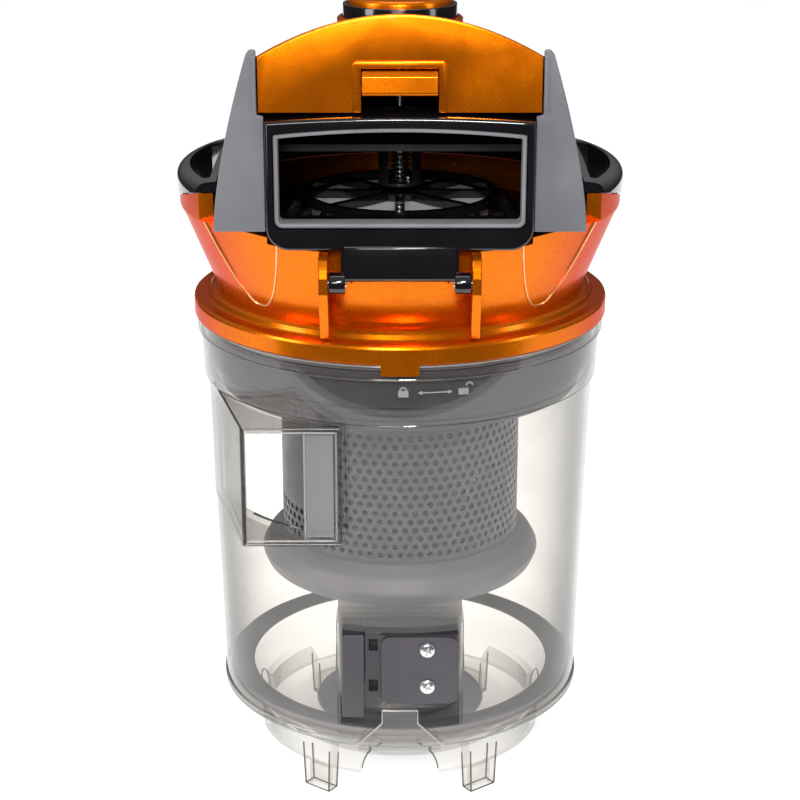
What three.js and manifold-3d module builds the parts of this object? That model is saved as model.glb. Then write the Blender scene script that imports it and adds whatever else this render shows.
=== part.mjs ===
// Dust container of a bagless canister vacuum cleaner, in millimetres, +Z up.
// The origin is on the ground, under the centre of the container. The side that mates with the
// machine, with the inlet port and the outlet duct, looks along -Y.
// Bin pieces are measured from the ground. Housing and cover pieces are measured from the top of
// the housing's flange, and their group lifts them to it.
import * as THREE from 'three';
import { mergeVertices } from 'three/addons/utils/BufferGeometryUtils.js';
import Module from 'manifold-3d';

const wasm = await Module();
wasm.setup();

// ---------------------------------------------------------------- driving dimensions

const GAP = 0.3; // clearance between pieces that touch
const RUNNING = 0.2; // radial clearance of a pin in its bore
const FAR = 160; // how far a cutting block reaches past everything
const FINE = 40; // facets round the large pieces
const COARSE = 24; // facets round the inner pieces
const SMALL = 10; // facets round pins, screws and bosses

// bin
const binBottom = 38.4; // height of the bin's lower edge
const binFootRadius = 74.4; // outer radius at that edge
const binDraft = 0.03; // growth of the radius per millimetre of height
const binWall = 2;
const flangeTop = 204; // top of the housing's flange, which everything above is measured from
const flangeHeight = 7.5;
const rimHeight = 5.8;
const rimOverhang = 2.07; // how far the rim stands out from the band
const collarHeight = 21; // the wide top band, below the rim
const collarStep = 1.6; // how far the band stands out from the wall
const bandLip = 0.6; // growth of the band up to the rim
const notchFrom = -8; // rim notch for the bayonet tab, along X
const notchTo = 31;

const binTop = flangeTop - flangeHeight - GAP;
const collarTop = binTop - rimHeight;
const collarFoot = collarTop - collarHeight;

function binRadius(z) {
  return binFootRadius + binDraft * (z - binBottom);
}

const collarRadius = binRadius(collarFoot) + collarStep;
const rimRadius = collarRadius + rimOverhang;

// housing
const flangeRadius = rimRadius + 1;
const flareFoot = 4; // height where the flared body starts, above the flange's top
const flareFootRadius = flangeRadius - 9.8;
const flareTop = 38;
const flareTopRadius = flangeRadius + 4;
const flareWall = 2.8; // at the foot
const flareWallGrowth = 1.9; // added up to the top
const floorTop = 25; // deck that carries the filter
const floorThickness = 3;
const airHoleRadius = 34;
const housingBore = flareFootRadius - 2.2; // inside of the flange
const tabHalfWidth = 7.2;
const tabDrop = 4;

// ring on the housing
const ringRadius = flareTopRadius + 1.5;
const ringTop = 54;
const ringInnerRadius = flareTopRadius - 17;
const ringFront = -(ringRadius - 45.5); // the ring's front ends, along Y
const seamRise = 0.235; // rise of the seam under the ring, per millimetre towards the front

// inlet port
const portFace = -(binFootRadius + 3.6); // Y of the port's face
const portLeft = -(binFootRadius - 14.4);
const portRight = -22;
const portOpeningRight = portRight - 14;
const portTop = binTop - 25.4;
const portBottom = portTop - 48;
const portWall = 2.3;
const portDepth = 18; // how far the port reaches back beside its opening

// latch
const pocketHalfWidth = 23.4;
const pocketBack = -0.7527 * binFootRadius;
const pocketFloor = binBottom + 5;
const pocketTop = pocketFloor + 42;
const pocketWall = 1.6;
const latchTop = pocketTop - 2;
const latchBottom = latchTop - 28.6;
const latchFace = -(binFootRadius - 0.9);
const latchSide = 0.6; // room between the pocket's side and what sits in it
const grooveRight = -7.5; // groove beside the cover plate
const sliderFoot = pocketFloor + 4.3;
const sliderRight = -14;
const sliderShoulder = pocketFloor + 14.6;
const coverPlateThickness = 1.7;
const latchScrewX = 10.7;
const latchScrewHeights = [latchTop - 5.3, latchBottom + 7.6];
const screwHeadRadius = 3.2;
const screwShankRadius = 1.35;

// door
const doorRimRadius = binFootRadius + 0.8;
const doorRimTop = binBottom - GAP;
const doorRimHeight = 2.9;
const rimLedge = 1.6; // how far the rim stands out from the bowl
const bowlFloor = doorRimTop - 19.6;
const bowlFloorRadius = 0.6385 * binFootRadius;
const doorWall = 2.4;
const sealInner = binFootRadius - 11.8;
const sealHeight = 3;
const legAngles = [53, 127, -53, -127]; // degrees round the door
const legReach = bowlFloorRadius + 7; // radius of the middle of a foot
const legWidth = 12.6; // across, at the foot
const legDepth = 5.6; // outwards, at the foot
const legSpread = 1.24; // growth of the leg up to the bowl
const skirtRadius = bowlFloorRadius + 12.5;
const skirtFoot = bowlFloor - 4.5;
const archHalfWidth = 15.5;
const tabFoot = doorRimTop - doorRimHeight;
const tabShoulder = pocketFloor + 3.6;
const tabTip = pocketFloor + 9.6;
const tabFootHalf = 16.5;
const tongueHalf = 7.2;
const slitWidth = 1.2;
const doorHingeY = doorRimRadius + 5.3;
const doorHingeZ = binBottom + 1.6;
const knuckleRadius = 3.6;
const knuckleHalf = 11.5;
const earThickness = 3.5;
const hingePinRadius = 1.6;

// separator
const deckUnderside = binTop - 9.2;
const deckThickness = 3;
const collarMiddleFoot = binTop - 21.7;
const collarLowerFoot = binTop - 28.8;
const meshRadius = 0.6586 * binFootRadius;
const meshWall = 2.2;
const meshFoot = deckUnderside - 84;
const bellRadius = 1.183 * meshRadius;
const bellWall = 2.2;
const stemRadius = 26.6;
const stemWall = 2;
const stemTop = meshFoot - 22.5;
const coneFootRadius = 20;
const finderFoot = deckUnderside - 37;
const footDiscRadius = stemRadius + 9.4;
const footDiscHeight = 4.2;
const sealRingHeight = 3.4;

// cover
const coverHingeY = -(flareTopRadius - 2.5);
const coverHingeZ = 24.5;
const barrelRadius = 4;
const barrelInner = 19.7;
const barrelLength = 6;
const ribThickness = 3.4;
const coverFront = coverHingeY + 4.5;
const coverBack = ringInnerRadius - 0.4;
const coverBase = ringTop - 10.4;
const coverWall = 3;
const roundFrom = 10; // where the cover's back starts to round down, along Y
const roundDrop = 44; // how far it rounds down

// outlet duct
const ductFront = coverHingeY - 0.5;
const ductBack = coverFront + 18;
const ductHalfWidth = 47.8;
const ductBottom = 36.5;
const ductTop = 83;
const ductSideWall = 2.6;
const ductFloor = 44.2;
const ductCeiling = 78.6;
const ductCorner = 8;
const sealLip = 1.5;

// cover's outline
const lidHalfWidth = ductHalfWidth + 2.2;
const sideTop = lidHalfWidth + 3.6; // half-width of the cover at the plates' tips
const sideBase = ringInnerRadius - 3; // and at its base
const plateInset = 0.8; // how far the shell stands back from the plates' edges
const plateThickness = 2.8;
const lidFrontTop = 120;
const plateTip = lidFrontTop - 12.6;
const lidCrown = 14.5; // how much higher the lid is at its middle than at its corners
const lidFall = 0.15; // fall of the lid towards the back, per millimetre
const lidSeamFront = ductTop + 2.5;
const lidSeamBack = 60;
const catchHalfWidth = 13.4;
const catchTop = lidFrontTop - 19.2;
const catchBottom = catchTop - 9.1;

// filter and button
const filterRadius = 46;
const filterTop = 40;
const filterFoot = 27.6;
const filterShoulder = filterRadius - 8.5;
const spokeCount = 8;
const spokeWidth = 3.6;
const spokeDepth = 3;
const ceilingUnderside = 68;
const ceilingThickness = 2.5;
const hubRadius = 16.6;
const hubDepth = 6.6;
const hubScrewX = 21;
const cageRadius = 8.6;
const cageFloor = 42.6;
const cageFloorThickness = 1.4;
const rodRadius = 2.2;
const springRadius = 3.3;
const springWire = 0.9;
const springTop = 57.2;
const buttonRadius = 20.3;
const buttonTop = lidFrontTop - 3.6;
const bezelTop = buttonTop - 2.6;
const bezelFloor = bezelTop - 10.2;
const bezelWall = 1.6;
const bezelFloorThickness = 2;
const rodTop = bezelFloor - 0.2;
const buttonTravel = 4;

// ---------------------------------------------------------------- finishes

function finish(color, roughness, metalness, opacity = 1) {
  const transparent = opacity < 1;
  return new THREE.MeshStandardMaterial({ color, roughness, metalness, opacity, transparent });
}

const clearSmoke = () => finish(0xb8b4b0, 0.1, 0, 0.35);
const candyOrange = () => finish(0xe0700c, 0.25, 0.6);
const glossBlack = () => finish(0x141416, 0.15, 0);
const satinBlack = () => finish(0x1c1c1e, 0.45, 0);
const satinGrey = () => finish(0x5c5c62, 0.45, 0.2);
const darkGrey = () => finish(0x4a484d, 0.5, 0);
const midGrey = () => finish(0x6a6a6c, 0.5, 0);
const greyRubber = () => finish(0x8a8a88, 0.8, 0);
const steel = () => finish(0xc8c8c8, 0.25, 1);
const paleFleece = () => finish(0xb4b6b8, 0.9, 0);

// ---------------------------------------------------------------- solids

// turns a closed three.js geometry into a solid with its faces out
function solid(geometry) {
  const bare = geometry.clone();
  bare.deleteAttribute('normal');
  bare.deleteAttribute('uv');
  const merged = mergeVertices(bare, 1e-4);
  const position = merged.attributes.position;
  const index = merged.index.array;
  const triangles = [];
  let volume = 0;
  const a = new THREE.Vector3();
  const b = new THREE.Vector3();
  const c = new THREE.Vector3();
  for (let i = 0; i < index.length; i += 3) {
    const [p, q, r] = [index[i], index[i + 1], index[i + 2]];
    if (p === q || q === r || r === p) continue;
    triangles.push(p, q, r);
    a.fromBufferAttribute(position, p);
    b.fromBufferAttribute(position, q);
    c.fromBufferAttribute(position, r);
    volume += a.dot(b.cross(c));
  }
  if (volume < 0) triangles.reverse();
  const mesh = new wasm.Mesh({
    numProp: 3,
    vertProperties: new Float32Array(position.array),
    triVerts: new Uint32Array(triangles),
  });
  return new wasm.Manifold(mesh);
}

function join(...solids) {
  return solids.reduce((whole, next) => whole.add(next));
}

function cut(whole, ...tools) {
  return tools.reduce((rest, tool) => rest.subtract(tool), whole);
}

function box(x0, x1, y0, y1, z0, z1) {
  const geometry = new THREE.BoxGeometry(x1 - x0, y1 - y0, z1 - z0);
  geometry.translate((x0 + x1) / 2, (y0 + y1) / 2, (z0 + z1) / 2);
  return solid(geometry);
}

// solid of revolution about +Z from [radius, height] points; a ring's profile closes on itself
function turned(points, segments = FINE) {
  const profile = points.map(([r, z]) => new THREE.Vector2(r, z));
  const onAxis = points[0][0] === 0 && points[points.length - 1][0] === 0;
  if (!onAxis) profile.push(profile[0].clone());
  const geometry = new THREE.LatheGeometry(profile, segments);
  geometry.rotateX(Math.PI / 2);
  return solid(geometry);
}

function disc(radius, z0, z1, segments = SMALL) {
  return turned([[0, z0], [radius, z0], [radius, z1], [0, z1]], segments);
}

function tube(outer, inner, z0, z1, segments = COARSE) {
  return turned([[inner, z0], [outer, z0], [outer, z1], [inner, z1]], segments);
}

// bar of round section along X
function rod(radius, x0, x1, y, z, segments = SMALL) {
  const geometry = new THREE.CylinderGeometry(radius, radius, x1 - x0, segments);
  geometry.rotateZ(Math.PI / 2);
  geometry.translate((x0 + x1) / 2, y, z);
  return solid(geometry);
}

function outline(points) {
  return new THREE.Shape(points.map(([u, v]) => new THREE.Vector2(u, v)));
}

// outline in X and Y, extruded along Z
function prismZ(points, z0, z1) {
  const geometry = new THREE.ExtrudeGeometry(outline(points), { depth: z1 - z0, bevelEnabled: false });
  geometry.translate(0, 0, z0);
  return solid(geometry);
}

// outline in X and Z, extruded along Y
function prismY(points, y0, y1) {
  const geometry = new THREE.ExtrudeGeometry(outline(points), { depth: y1 - y0, bevelEnabled: false });
  geometry.rotateX(Math.PI / 2);
  geometry.translate(0, y1, 0);
  return solid(geometry);
}

// outline in Y and Z, extruded along X
function prismX(points, x0, x1) {
  const geometry = new THREE.ExtrudeGeometry(outline(points), { depth: x1 - x0, bevelEnabled: false });
  geometry.rotateX(Math.PI / 2);
  geometry.rotateZ(Math.PI / 2);
  geometry.translate(x0, 0, 0);
  return solid(geometry);
}

function mirrored(points) {
  return points.map(([u, v]) => [-u, v]).reverse();
}

// points of an arc from one angle to another, in degrees, both ends included
function arc(centreU, centreV, radius, fromAngle, toAngle, steps) {
  const points = [];
  for (let i = 0; i <= steps; i += 1) {
    const angle = THREE.MathUtils.degToRad(fromAngle + ((toAngle - fromAngle) * i) / steps);
    points.push([centreU + radius * Math.cos(angle), centreV + radius * Math.sin(angle)]);
  }
  return points;
}

// half-space beyond a plane, as a large block, above a given height
function beyondPlane(point, normal, aboveHeight) {
  const size = 2 * FAR;
  const geometry = new THREE.BoxGeometry(size, size, size);
  geometry.translate(0, 0, size / 2);
  const turn = new THREE.Quaternion().setFromUnitVectors(new THREE.Vector3(0, 0, 1), normal);
  geometry.applyQuaternion(turn);
  geometry.translate(point.x, point.y, point.z);
  return solid(geometry).intersect(box(-size, size, -size, size, aboveHeight, size));
}

class Helix extends THREE.Curve {
  constructor(radius, turns, z0, z1) {
    super();
    Object.assign(this, { radius, turns, z0, z1 });
  }

  getPoint(t, target = new THREE.Vector3()) {
    const angle = 2 * Math.PI * this.turns * t;
    const z = this.z0 + (this.z1 - this.z0) * t;
    return target.set(this.radius * Math.cos(angle), this.radius * Math.sin(angle), z);
  }
}

function coilSpring(radius, wire, turns, z0, z1) {
  const section = outline(arc(0, 0, wire / 2, 0, 288, 4));
  const extrudePath = new Helix(radius, turns, z0 + wire / 2, z1 - wire / 2);
  const geometry = new THREE.ExtrudeGeometry(section, { steps: turns * 10, extrudePath });
  return solid(geometry);
}

function mesh(name, body, material) {
  const { vertProperties, triVerts } = body.getMesh();
  const geometry = new THREE.BufferGeometry();
  geometry.setAttribute('position', new THREE.BufferAttribute(vertProperties, 3));
  geometry.setIndex(new THREE.BufferAttribute(triVerts, 1));
  geometry.computeVertexNormals();
  const piece = new THREE.Mesh(geometry, material);
  piece.name = name;
  return piece;
}

// ---------------------------------------------------------------- bin

const bandRise = 3; // height of the slope below the band

function binOutside() {
  return turned([
    [0, binBottom],
    [binRadius(binBottom), binBottom],
    [binRadius(collarFoot), collarFoot],
    [collarRadius, collarFoot + bandRise],
    [collarRadius + bandLip, collarTop],
    [rimRadius, collarTop],
    [rimRadius, binTop],
    [0, binTop],
  ]);
}

function binInside() {
  const below = 1;
  return turned([
    [0, binBottom - below],
    [binRadius(binBottom) - binWall, binBottom - below],
    [binRadius(collarFoot) - binWall, collarFoot],
    [collarRadius - binWall, collarFoot + bandRise],
    [collarRadius - binWall, binTop + 1],
    [0, binTop + 1],
  ]);
}

const portBack = -20; // Y where the air path ends

function portBlock() {
  const plan = [
    [portLeft, portFace],
    [portRight, portFace],
    [portRight, portFace + portDepth],
    [portLeft, portBack],
    [-binFootRadius - 1.2, portBack],
  ];
  return prismZ(plan, portBottom, portTop);
}

// the air path runs back along the left wall, so that the air enters the bin at a tangent
function portPassage() {
  const left = portLeft + portWall;
  const plan = [
    [left, portFace - 1],
    [portOpeningRight, portFace - 1],
    [portOpeningRight, portFace + portDepth + 2],
    [portLeft + 10, portBack],
    [portWall - binFootRadius - 1.2, portBack],
  ];
  return prismZ(plan, portBottom + portWall, portTop - portWall);
}

function portRecess() {
  const right = portRight - portWall;
  const z0 = portBottom + portWall;
  const recess = box(portOpeningRight - 1, right, portFace - 1, portFace + portDepth, z0, portTop - portWall);
  return recess.subtract(binOutside());
}

function latchPocket() {
  const w = pocketHalfWidth + pocketWall;
  const block = box(-w, w, -FAR, pocketBack + pocketWall, pocketFloor - pocketWall, pocketTop + pocketWall);
  return block.intersect(binOutside());
}

function doorEar(x0) {
  const inWall = binFootRadius - binWall / 2;
  const armFoot = doorHingeZ - 0.8;
  const armTop = doorHingeZ + 14;
  const knuckle = arc(doorHingeY, doorHingeZ, knuckleRadius, -70, 70, 7);
  const arm = [[inWall, armTop], [inWall, armFoot], [binFootRadius + 2, armFoot]];
  return prismX([...arm, ...knuckle], x0, x0 + earThickness);
}

function dustBin() {
  const earInner = knuckleHalf + GAP;
  const notch = box(notchFrom, notchTo, -FAR, 0, collarTop, binTop + 1);
  const collarBand = disc(collarRadius + bandLip - 0.1, collarTop - 1, binTop + 1, FINE);
  const pocketCavity = box(-pocketHalfWidth, pocketHalfWidth, -FAR, pocketBack, pocketFloor, pocketTop);
  let body = join(binOutside(), portBlock()).subtract(binInside());
  body = join(body, latchPocket(), doorEar(earInner), doorEar(-earInner - earThickness));
  const pinBore = rod(hingePinRadius + RUNNING, -FAR, FAR, doorHingeY, doorHingeZ);
  return cut(body, portPassage(), portRecess(), pocketCavity, notch.subtract(collarBand), pinBore);
}

// ---------------------------------------------------------------- latch

function latchHousing() {
  const left = sliderRight + GAP;
  const right = pocketHalfWidth - latchSide;
  const slotHeight = 5;
  const slotInset = 3; // from the block's ends
  const grooveDepth = 3;
  const slotDepth = 9;
  const body = box(left, right, latchFace, pocketBack - GAP, latchBottom, latchTop);
  const grooveBack = latchFace + grooveDepth;
  const groove = box(left - 1, grooveRight, latchFace - 1, grooveBack, latchBottom - 1, latchTop + 1);
  const slots = [latchBottom + slotInset, latchTop - slotInset - slotHeight].map((z) =>
    box(left + 1.4, grooveRight - 1.2, latchFace, latchFace + slotDepth, z, z + slotHeight),
  );
  const bores = latchScrewHeights.map((z) => screwBore(z));
  return cut(body, groove, ...slots, ...bores);
}

function screwBore(z) {
  const radius = screwShankRadius + 0.35;
  const depth = 18;
  const geometry = new THREE.CylinderGeometry(radius, radius, depth, SMALL);
  geometry.translate(latchScrewX, latchFace + 5, z);
  return solid(geometry);
}

function latchCover() {
  const left = grooveRight + GAP;
  const right = pocketHalfWidth - latchSide - 0.4;
  const corner = 3.2;
  const [x0, x1, z0, z1] = [left + corner, right - corner, latchBottom + corner, latchTop - corner];
  const plate = [
    ...arc(x0, z0, corner, 180, 270, 4),
    ...arc(x1, z0, corner, 270, 360, 4),
    ...arc(x1, z1, corner, 0, 90, 4),
    ...arc(x0, z1, corner, 90, 180, 4),
  ];
  const back = latchFace - GAP;
  return cut(prismY(plate, back - coverPlateThickness, back), ...latchScrewHeights.map(screwBore));
}

// pan-head screw at the origin, its head towards -Y
function latchScrew() {
  const headBack = latchFace - GAP - coverPlateThickness - 0.2;
  const chamfer = screwHeadRadius - 0.2;
  const head = turned([[0, 0], [screwHeadRadius, 0], [chamfer, 0.7], [1.8, 1.3], [0, 1.4]], SMALL);
  const shank = disc(screwShankRadius, -9, 0.2, SMALL);
  const slotFloor = 0.7;
  const slotA = box(-1.7, 1.7, -0.35, 0.35, slotFloor, 2);
  const slotB = box(-0.35, 0.35, -1.7, 1.7, slotFloor, 2);
  return { body: cut(join(head, shank), slotA, slotB), headBack };
}

function releaseSlider() {
  const left = -pocketHalfWidth + latchSide;
  const plateBack = latchFace + 5.5;
  const plate = box(left, sliderRight, latchFace, plateBack, sliderFoot, latchTop);
  const block = box(left, sliderRight, plateBack - 1, pocketBack - GAP, sliderShoulder, latchTop);
  return join(plate, block);
}

function releaseSpring() {
  return coilSpring(2.6, 0.8, 5, 0, sliderShoulder - pocketFloor - 2 * GAP);
}

// ---------------------------------------------------------------- door

function doorBowl() {
  const rimFoot = doorRimTop - doorRimHeight;
  const coneTop = doorRimRadius - rimLedge;
  return turned([
    [0, bowlFloor - doorWall],
    [bowlFloorRadius, bowlFloor - doorWall],
    [coneTop, rimFoot - 0.6],
    [doorRimRadius, rimFoot],
    [doorRimRadius, doorRimTop],
    [coneTop - doorWall, doorRimTop],
    [bowlFloorRadius - 1, bowlFloor],
    [0, bowlFloor],
  ]);
}

function doorLeg(angle) {
  const radial = THREE.MathUtils.degToRad(angle);
  const corner = (legWidth / 2) * Math.SQRT2;
  const top = bowlFloor + 11.5;
  const geometry = new THREE.CylinderGeometry(corner * legSpread, corner, top, 4);
  geometry.rotateY(Math.PI / 4);
  geometry.rotateX(Math.PI / 2);
  geometry.scale(legDepth / legWidth, 1, 1);
  geometry.translate(legReach, 0, top / 2);
  geometry.rotateZ(radial);
  return solid(geometry);
}

function doorSkirt() {
  const wall = tube(skirtRadius, skirtRadius - doorWall, skirtFoot, bowlFloor + 9.5, FINE);
  const springing = skirtFoot - 1;
  const arch = [
    [archHalfWidth, springing],
    ...arc(0, springing + 2, archHalfWidth, 0, 180, 12),
    [-archHalfWidth, springing],
  ];
  return cut(wall, prismY(arch, -FAR, FAR), prismX(arch, -FAR, FAR));
}

// upper side of the bowl, used to keep legs and skirt out of the dust space
function bowlSpace() {
  const coneTop = doorRimRadius - rimLedge;
  return turned([
    [0, bowlFloor],
    [bowlFloorRadius - 1, bowlFloor],
    [coneTop - doorWall, doorRimTop],
    [coneTop - doorWall, doorRimTop + 10],
    [0, doorRimTop + 10],
  ]);
}

const tabBack = -doorRimRadius - 0.2;
const tabThickness = 2;

function doorTab() {
  const half = [
    [tabFootHalf, tabFoot],
    [tabFootHalf, doorRimTop],
    [tongueHalf, tabShoulder],
    [tongueHalf, tabTip],
  ];
  const tab = prismY([...half, ...mirrored(half)], tabBack - tabThickness, tabBack);
  const web = box(-tabFootHalf, tabFootHalf, tabBack - 0.1, tabBack + 3.9, tabFoot, doorRimTop);
  return join(tab, web);
}

// the slits beside the tab let it spring outwards
function doorSlit(side) {
  const middle = side * (tabFootHalf + 0.3 + slitWidth / 2);
  const half = slitWidth / 2;
  return box(middle - half, middle + half, -FAR, tabBack + 3.6, tabFoot - 1, doorRimTop + 1);
}

function bottomDoor() {
  const knuckle = rod(knuckleRadius, -knuckleHalf, knuckleHalf, doorHingeY, doorHingeZ);
  const web = box(-knuckleHalf, knuckleHalf, doorRimRadius - 2.8, doorHingeY - 1, tabFoot, doorRimTop);
  const legs = legAngles.map(doorLeg);
  const under = cut(join(doorSkirt(), ...legs), bowlSpace());
  const body = join(doorBowl(), under, knuckle, web, doorTab());
  const bore = rod(hingePinRadius + RUNNING, -FAR, FAR, doorHingeY, doorHingeZ);
  return cut(body, bore, doorSlit(-1), doorSlit(1));
}

function doorSeal() {
  const outer = binRadius(binBottom) - binWall - GAP;
  const z0 = doorRimTop + GAP;
  return turned([
    [sealInner, z0 + 1],
    [outer - 1.5, z0],
    [outer, z0],
    [outer, z0 + sealHeight],
    [outer - 3, z0 + sealHeight],
    [sealInner, z0 + 2.2],
  ]);
}

function doorHingePin() {
  return rod(hingePinRadius, -knuckleHalf - earThickness - GAP, knuckleHalf + earThickness + GAP, 0, 0);
}

// ---------------------------------------------------------------- separator

const sealRingFoot = binTop - sealRingHeight;

function separatorCollar() {
  const outer = collarRadius - binWall - GAP;
  const middle = outer - 2.6;
  const lower = middle - 2.3;
  const deckTop = deckUnderside + deckThickness;
  return turned([
    [lower - 2, collarLowerFoot],
    [lower, collarLowerFoot],
    [lower, collarMiddleFoot],
    [middle, collarMiddleFoot],
    [middle, collarFoot + 7.5],
    [outer, collarFoot + 9],
    [outer, sealRingFoot - GAP],
    [outer - 3, sealRingFoot - GAP],
    [outer - 3, deckTop],
    [meshRadius - meshWall, deckTop],
    [meshRadius - meshWall, deckUnderside],
    [lower - 3, deckUnderside],
    [lower - 2, deckUnderside - 1],
  ]);
}

function meshCylinder() {
  return tube(meshRadius, meshRadius - meshWall, meshFoot, deckUnderside - GAP);
}

function bellSkirt() {
  const top = meshFoot - GAP;
  const low = stemTop + GAP;
  const widest = top - 9.7;
  const waist = meshRadius - 3;
  const neck = stemRadius - stemWall;
  return turned([
    [meshRadius - meshWall, top],
    [meshRadius + 0.2, top],
    [bellRadius - 3.1, top - 4],
    [bellRadius, widest],
    [bellRadius - 2.3, top - 15],
    [waist, top - 19.2],
    [stemRadius + 2, low],
    [neck, low],
    [neck, low + bellWall],
    [waist, low + bellWall + 3],
    [bellRadius - 4.3, widest - 2.4],
    [bellRadius - bellWall, widest],
    [bellRadius - 5.9, top - 5.2],
    [meshRadius - meshWall, top - bellWall],
  ], COARSE);
}

const footDiscTop = bowlFloor + GAP + footDiscHeight;

function stem() {
  return tube(stemRadius, stemRadius - stemWall, footDiscTop + GAP, stemTop);
}

function stemFoot() {
  const z0 = bowlFloor + GAP;
  return turned([
    [stemRadius - stemWall, z0 + 1],
    [footDiscRadius - 2, z0],
    [footDiscRadius, z0 + 1.2],
    [footDiscRadius - 0.6, z0 + 2.4],
    [stemRadius + 1.5, footDiscTop],
    [stemRadius - stemWall, footDiscTop],
  ], COARSE);
}

function innerCone() {
  const topRadius = meshRadius - meshWall - 0.8;
  const wall = 2;
  const [foot, top] = [stemTop + 4, deckUnderside - 7];
  const section = [
    [coneFootRadius, foot],
    [coneFootRadius + wall, foot],
    [topRadius, top],
    [topRadius - wall, top],
  ];
  return turned(section, COARSE);
}

function vortexFinder() {
  const seat = deckUnderside + deckThickness + GAP;
  const outer = meshRadius - 3;
  const wall = 2.5;
  const brim = 2;
  return turned([
    [coneFootRadius, finderFoot],
    [coneFootRadius + wall, finderFoot],
    [coneFootRadius + wall, seat],
    [outer, seat],
    [outer, seat + brim],
    [coneFootRadius, seat + brim],
  ], COARSE);
}

function binSeal() {
  const outer = collarRadius - binWall - GAP;
  return tube(outer, outer - 5, sealRingFoot, binTop, FINE);
}

// ---------------------------------------------------------------- housing

function flareRadius(z) {
  const share = (z - flareFoot) / (flareTop - flareFoot);
  return flareFootRadius + (flareTopRadius - flareFootRadius) * share;
}

function flareInside(z) {
  const share = (z - flareFoot) / (flareTop - flareFoot);
  return flareRadius(z) - flareWall - flareWallGrowth * share;
}

// flat cut across the flare at each side of the front, which gives it its U-shaped edge
const facetAngle = THREE.MathUtils.degToRad(225.5); // round the flare
const facetDepth = 0.975; // how deep the cut goes at the facet's height
const facetHeight = 19.6;
const facetLean = 0.3285; // run of the facet's plane per millimetre of height
const facetNormal = new THREE.Vector3(Math.cos(facetAngle), Math.sin(facetAngle), -facetLean).normalize();
const facetReach = flareRadius(facetHeight) - facetDepth;
const facetPoint = new THREE.Vector3(
  facetReach * Math.cos(facetAngle),
  facetReach * Math.sin(facetAngle),
  facetHeight,
);

function facetCuts(aboveHeight) {
  const mirror = new THREE.Vector3(-1, 1, 1);
  return [
    beyondPlane(facetPoint, facetNormal, aboveHeight),
    beyondPlane(facetPoint.clone().multiply(mirror), facetNormal.clone().multiply(mirror), aboveHeight),
  ];
}

function frontWallRadius() {
  return -coverHingeY - barrelRadius - 0.1;
}

function hingeRib(x0) {
  const front = coverHingeY - barrelRadius;
  const profile = [
    [-flareFootRadius + 1.2, 1],
    [-flareFootRadius - 3.6, 1],
    [front, coverHingeZ - 3.5],
    [front, coverHingeZ + 2.5],
    [front + 2.4, coverHingeZ + 8.8],
    [front + 8, ductBottom - 1.6],
    [coverHingeY + 8.5, ductBottom - 1.6],
  ];
  return prismX(profile, x0, x0 + ribThickness);
}

// space above the seam between the flare and the ring: level behind, rising towards the front
function aboveRingSeam(shift) {
  const low = flareTop + shift;
  const front = low + seamRise * FAR;
  return prismX([[-FAR, front], [0, low], [FAR, low], [FAR, low + FAR], [-FAR, low + FAR]], -FAR, FAR);
}

// everything in front of the ring's ends, and the room of the cover between them
function ringOpening() {
  const low = flareTop - 8;
  const high = ringTop + 16;
  const half = sideBase + 2.2;
  const cover = box(-half, half, -FAR, -11, low, high);
  return join(cover, box(-FAR, FAR, -FAR, ringFront, flareTop, high));
}

// the flare goes on upwards under the ring's front ends
function wings() {
  const thickness = flareWall + flareWallGrowth;
  const outer = flareTopRadius + 0.3;
  const wall = tube(outer, outer - thickness, flareTop - 1, ringTop, FINE);
  const trays = [1, -1].map((side) => fingerTray(side, trayWall + GAP));
  return cut(wall, aboveRingSeam(0), box(-FAR, FAR, 0, FAR, 0, ringTop + 1), ringOpening(), ...trays);
}

function upperHousing() {
  const floorFoot = floorTop - floorThickness;
  const shell = turned([
    [housingBore, -flangeHeight],
    [flangeRadius, -flangeHeight],
    [flangeRadius, -0.8],
    [flangeRadius - 0.8, 0],
    [flareFootRadius + 4.2, 0],
    [flareFootRadius + 3, 1.6],
    [flareFootRadius + 2.8, flareFoot - 0.4],
    [flareFootRadius, flareFoot],
    [flareTopRadius, flareTop],
    [flareInside(flareTop), flareTop],
    [flareInside(floorTop), floorTop],
    [airHoleRadius, floorTop],
    [airHoleRadius, floorFoot],
    [flareInside(floorFoot), floorFoot],
    [housingBore, flareFoot + 0.5],
  ]);
  const wallRadius = frontWallRadius();
  const ribInner = barrelInner + barrelLength + GAP;
  const linerTop = ductBottom - 1.3;
  const liner = tube(wallRadius, wallRadius - 3, floorTop - 4, linerTop, FINE);
  const frontBand = box(-ribInner - 2, ribInner + 2, -FAR, -50, 0, FAR);
  const keep = disc(wallRadius, -FAR, FAR, FINE).intersect(flareLessSkin(2));
  const recess = box(-ribInner, ribInner, -FAR, -60, flareFoot, FAR).subtract(keep);
  const ductSeat = box(-ductHalfWidth - 0.8, ductHalfWidth + 0.8, -FAR, -50, linerTop, FAR);
  const facets = facetCuts(flareFoot);
  const body = cut(join(shell, wings(), liner.intersect(frontBand)), ...facets, recess, ductSeat);
  const ribs = join(hingeRib(ribInner), hingeRib(-ribInner - ribThickness));
  const bore = rod(hingePinRadius + RUNNING, -FAR, FAR, coverHingeY, coverHingeZ);
  return cut(join(body, ribs, bayonetTab()), bore);
}

// solid that fills the flare up to a skin's thickness from its outside
function flareLessSkin(skin) {
  const low = -40;
  const high = 60;
  return turned([
    [0, low],
    [flareRadius(low) - skin, low],
    [flareRadius(high) - skin, high],
    [0, high],
  ]);
}

function bayonetTab() {
  const inner = collarRadius + bandLip - 0.1 + GAP;
  const ring = tube(flangeRadius, inner, -flangeHeight - tabDrop, -flangeHeight + 1, FINE);
  return ring.intersect(box(-tabHalfWidth, tabHalfWidth, -FAR, 0, -20, 0));
}

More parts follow.
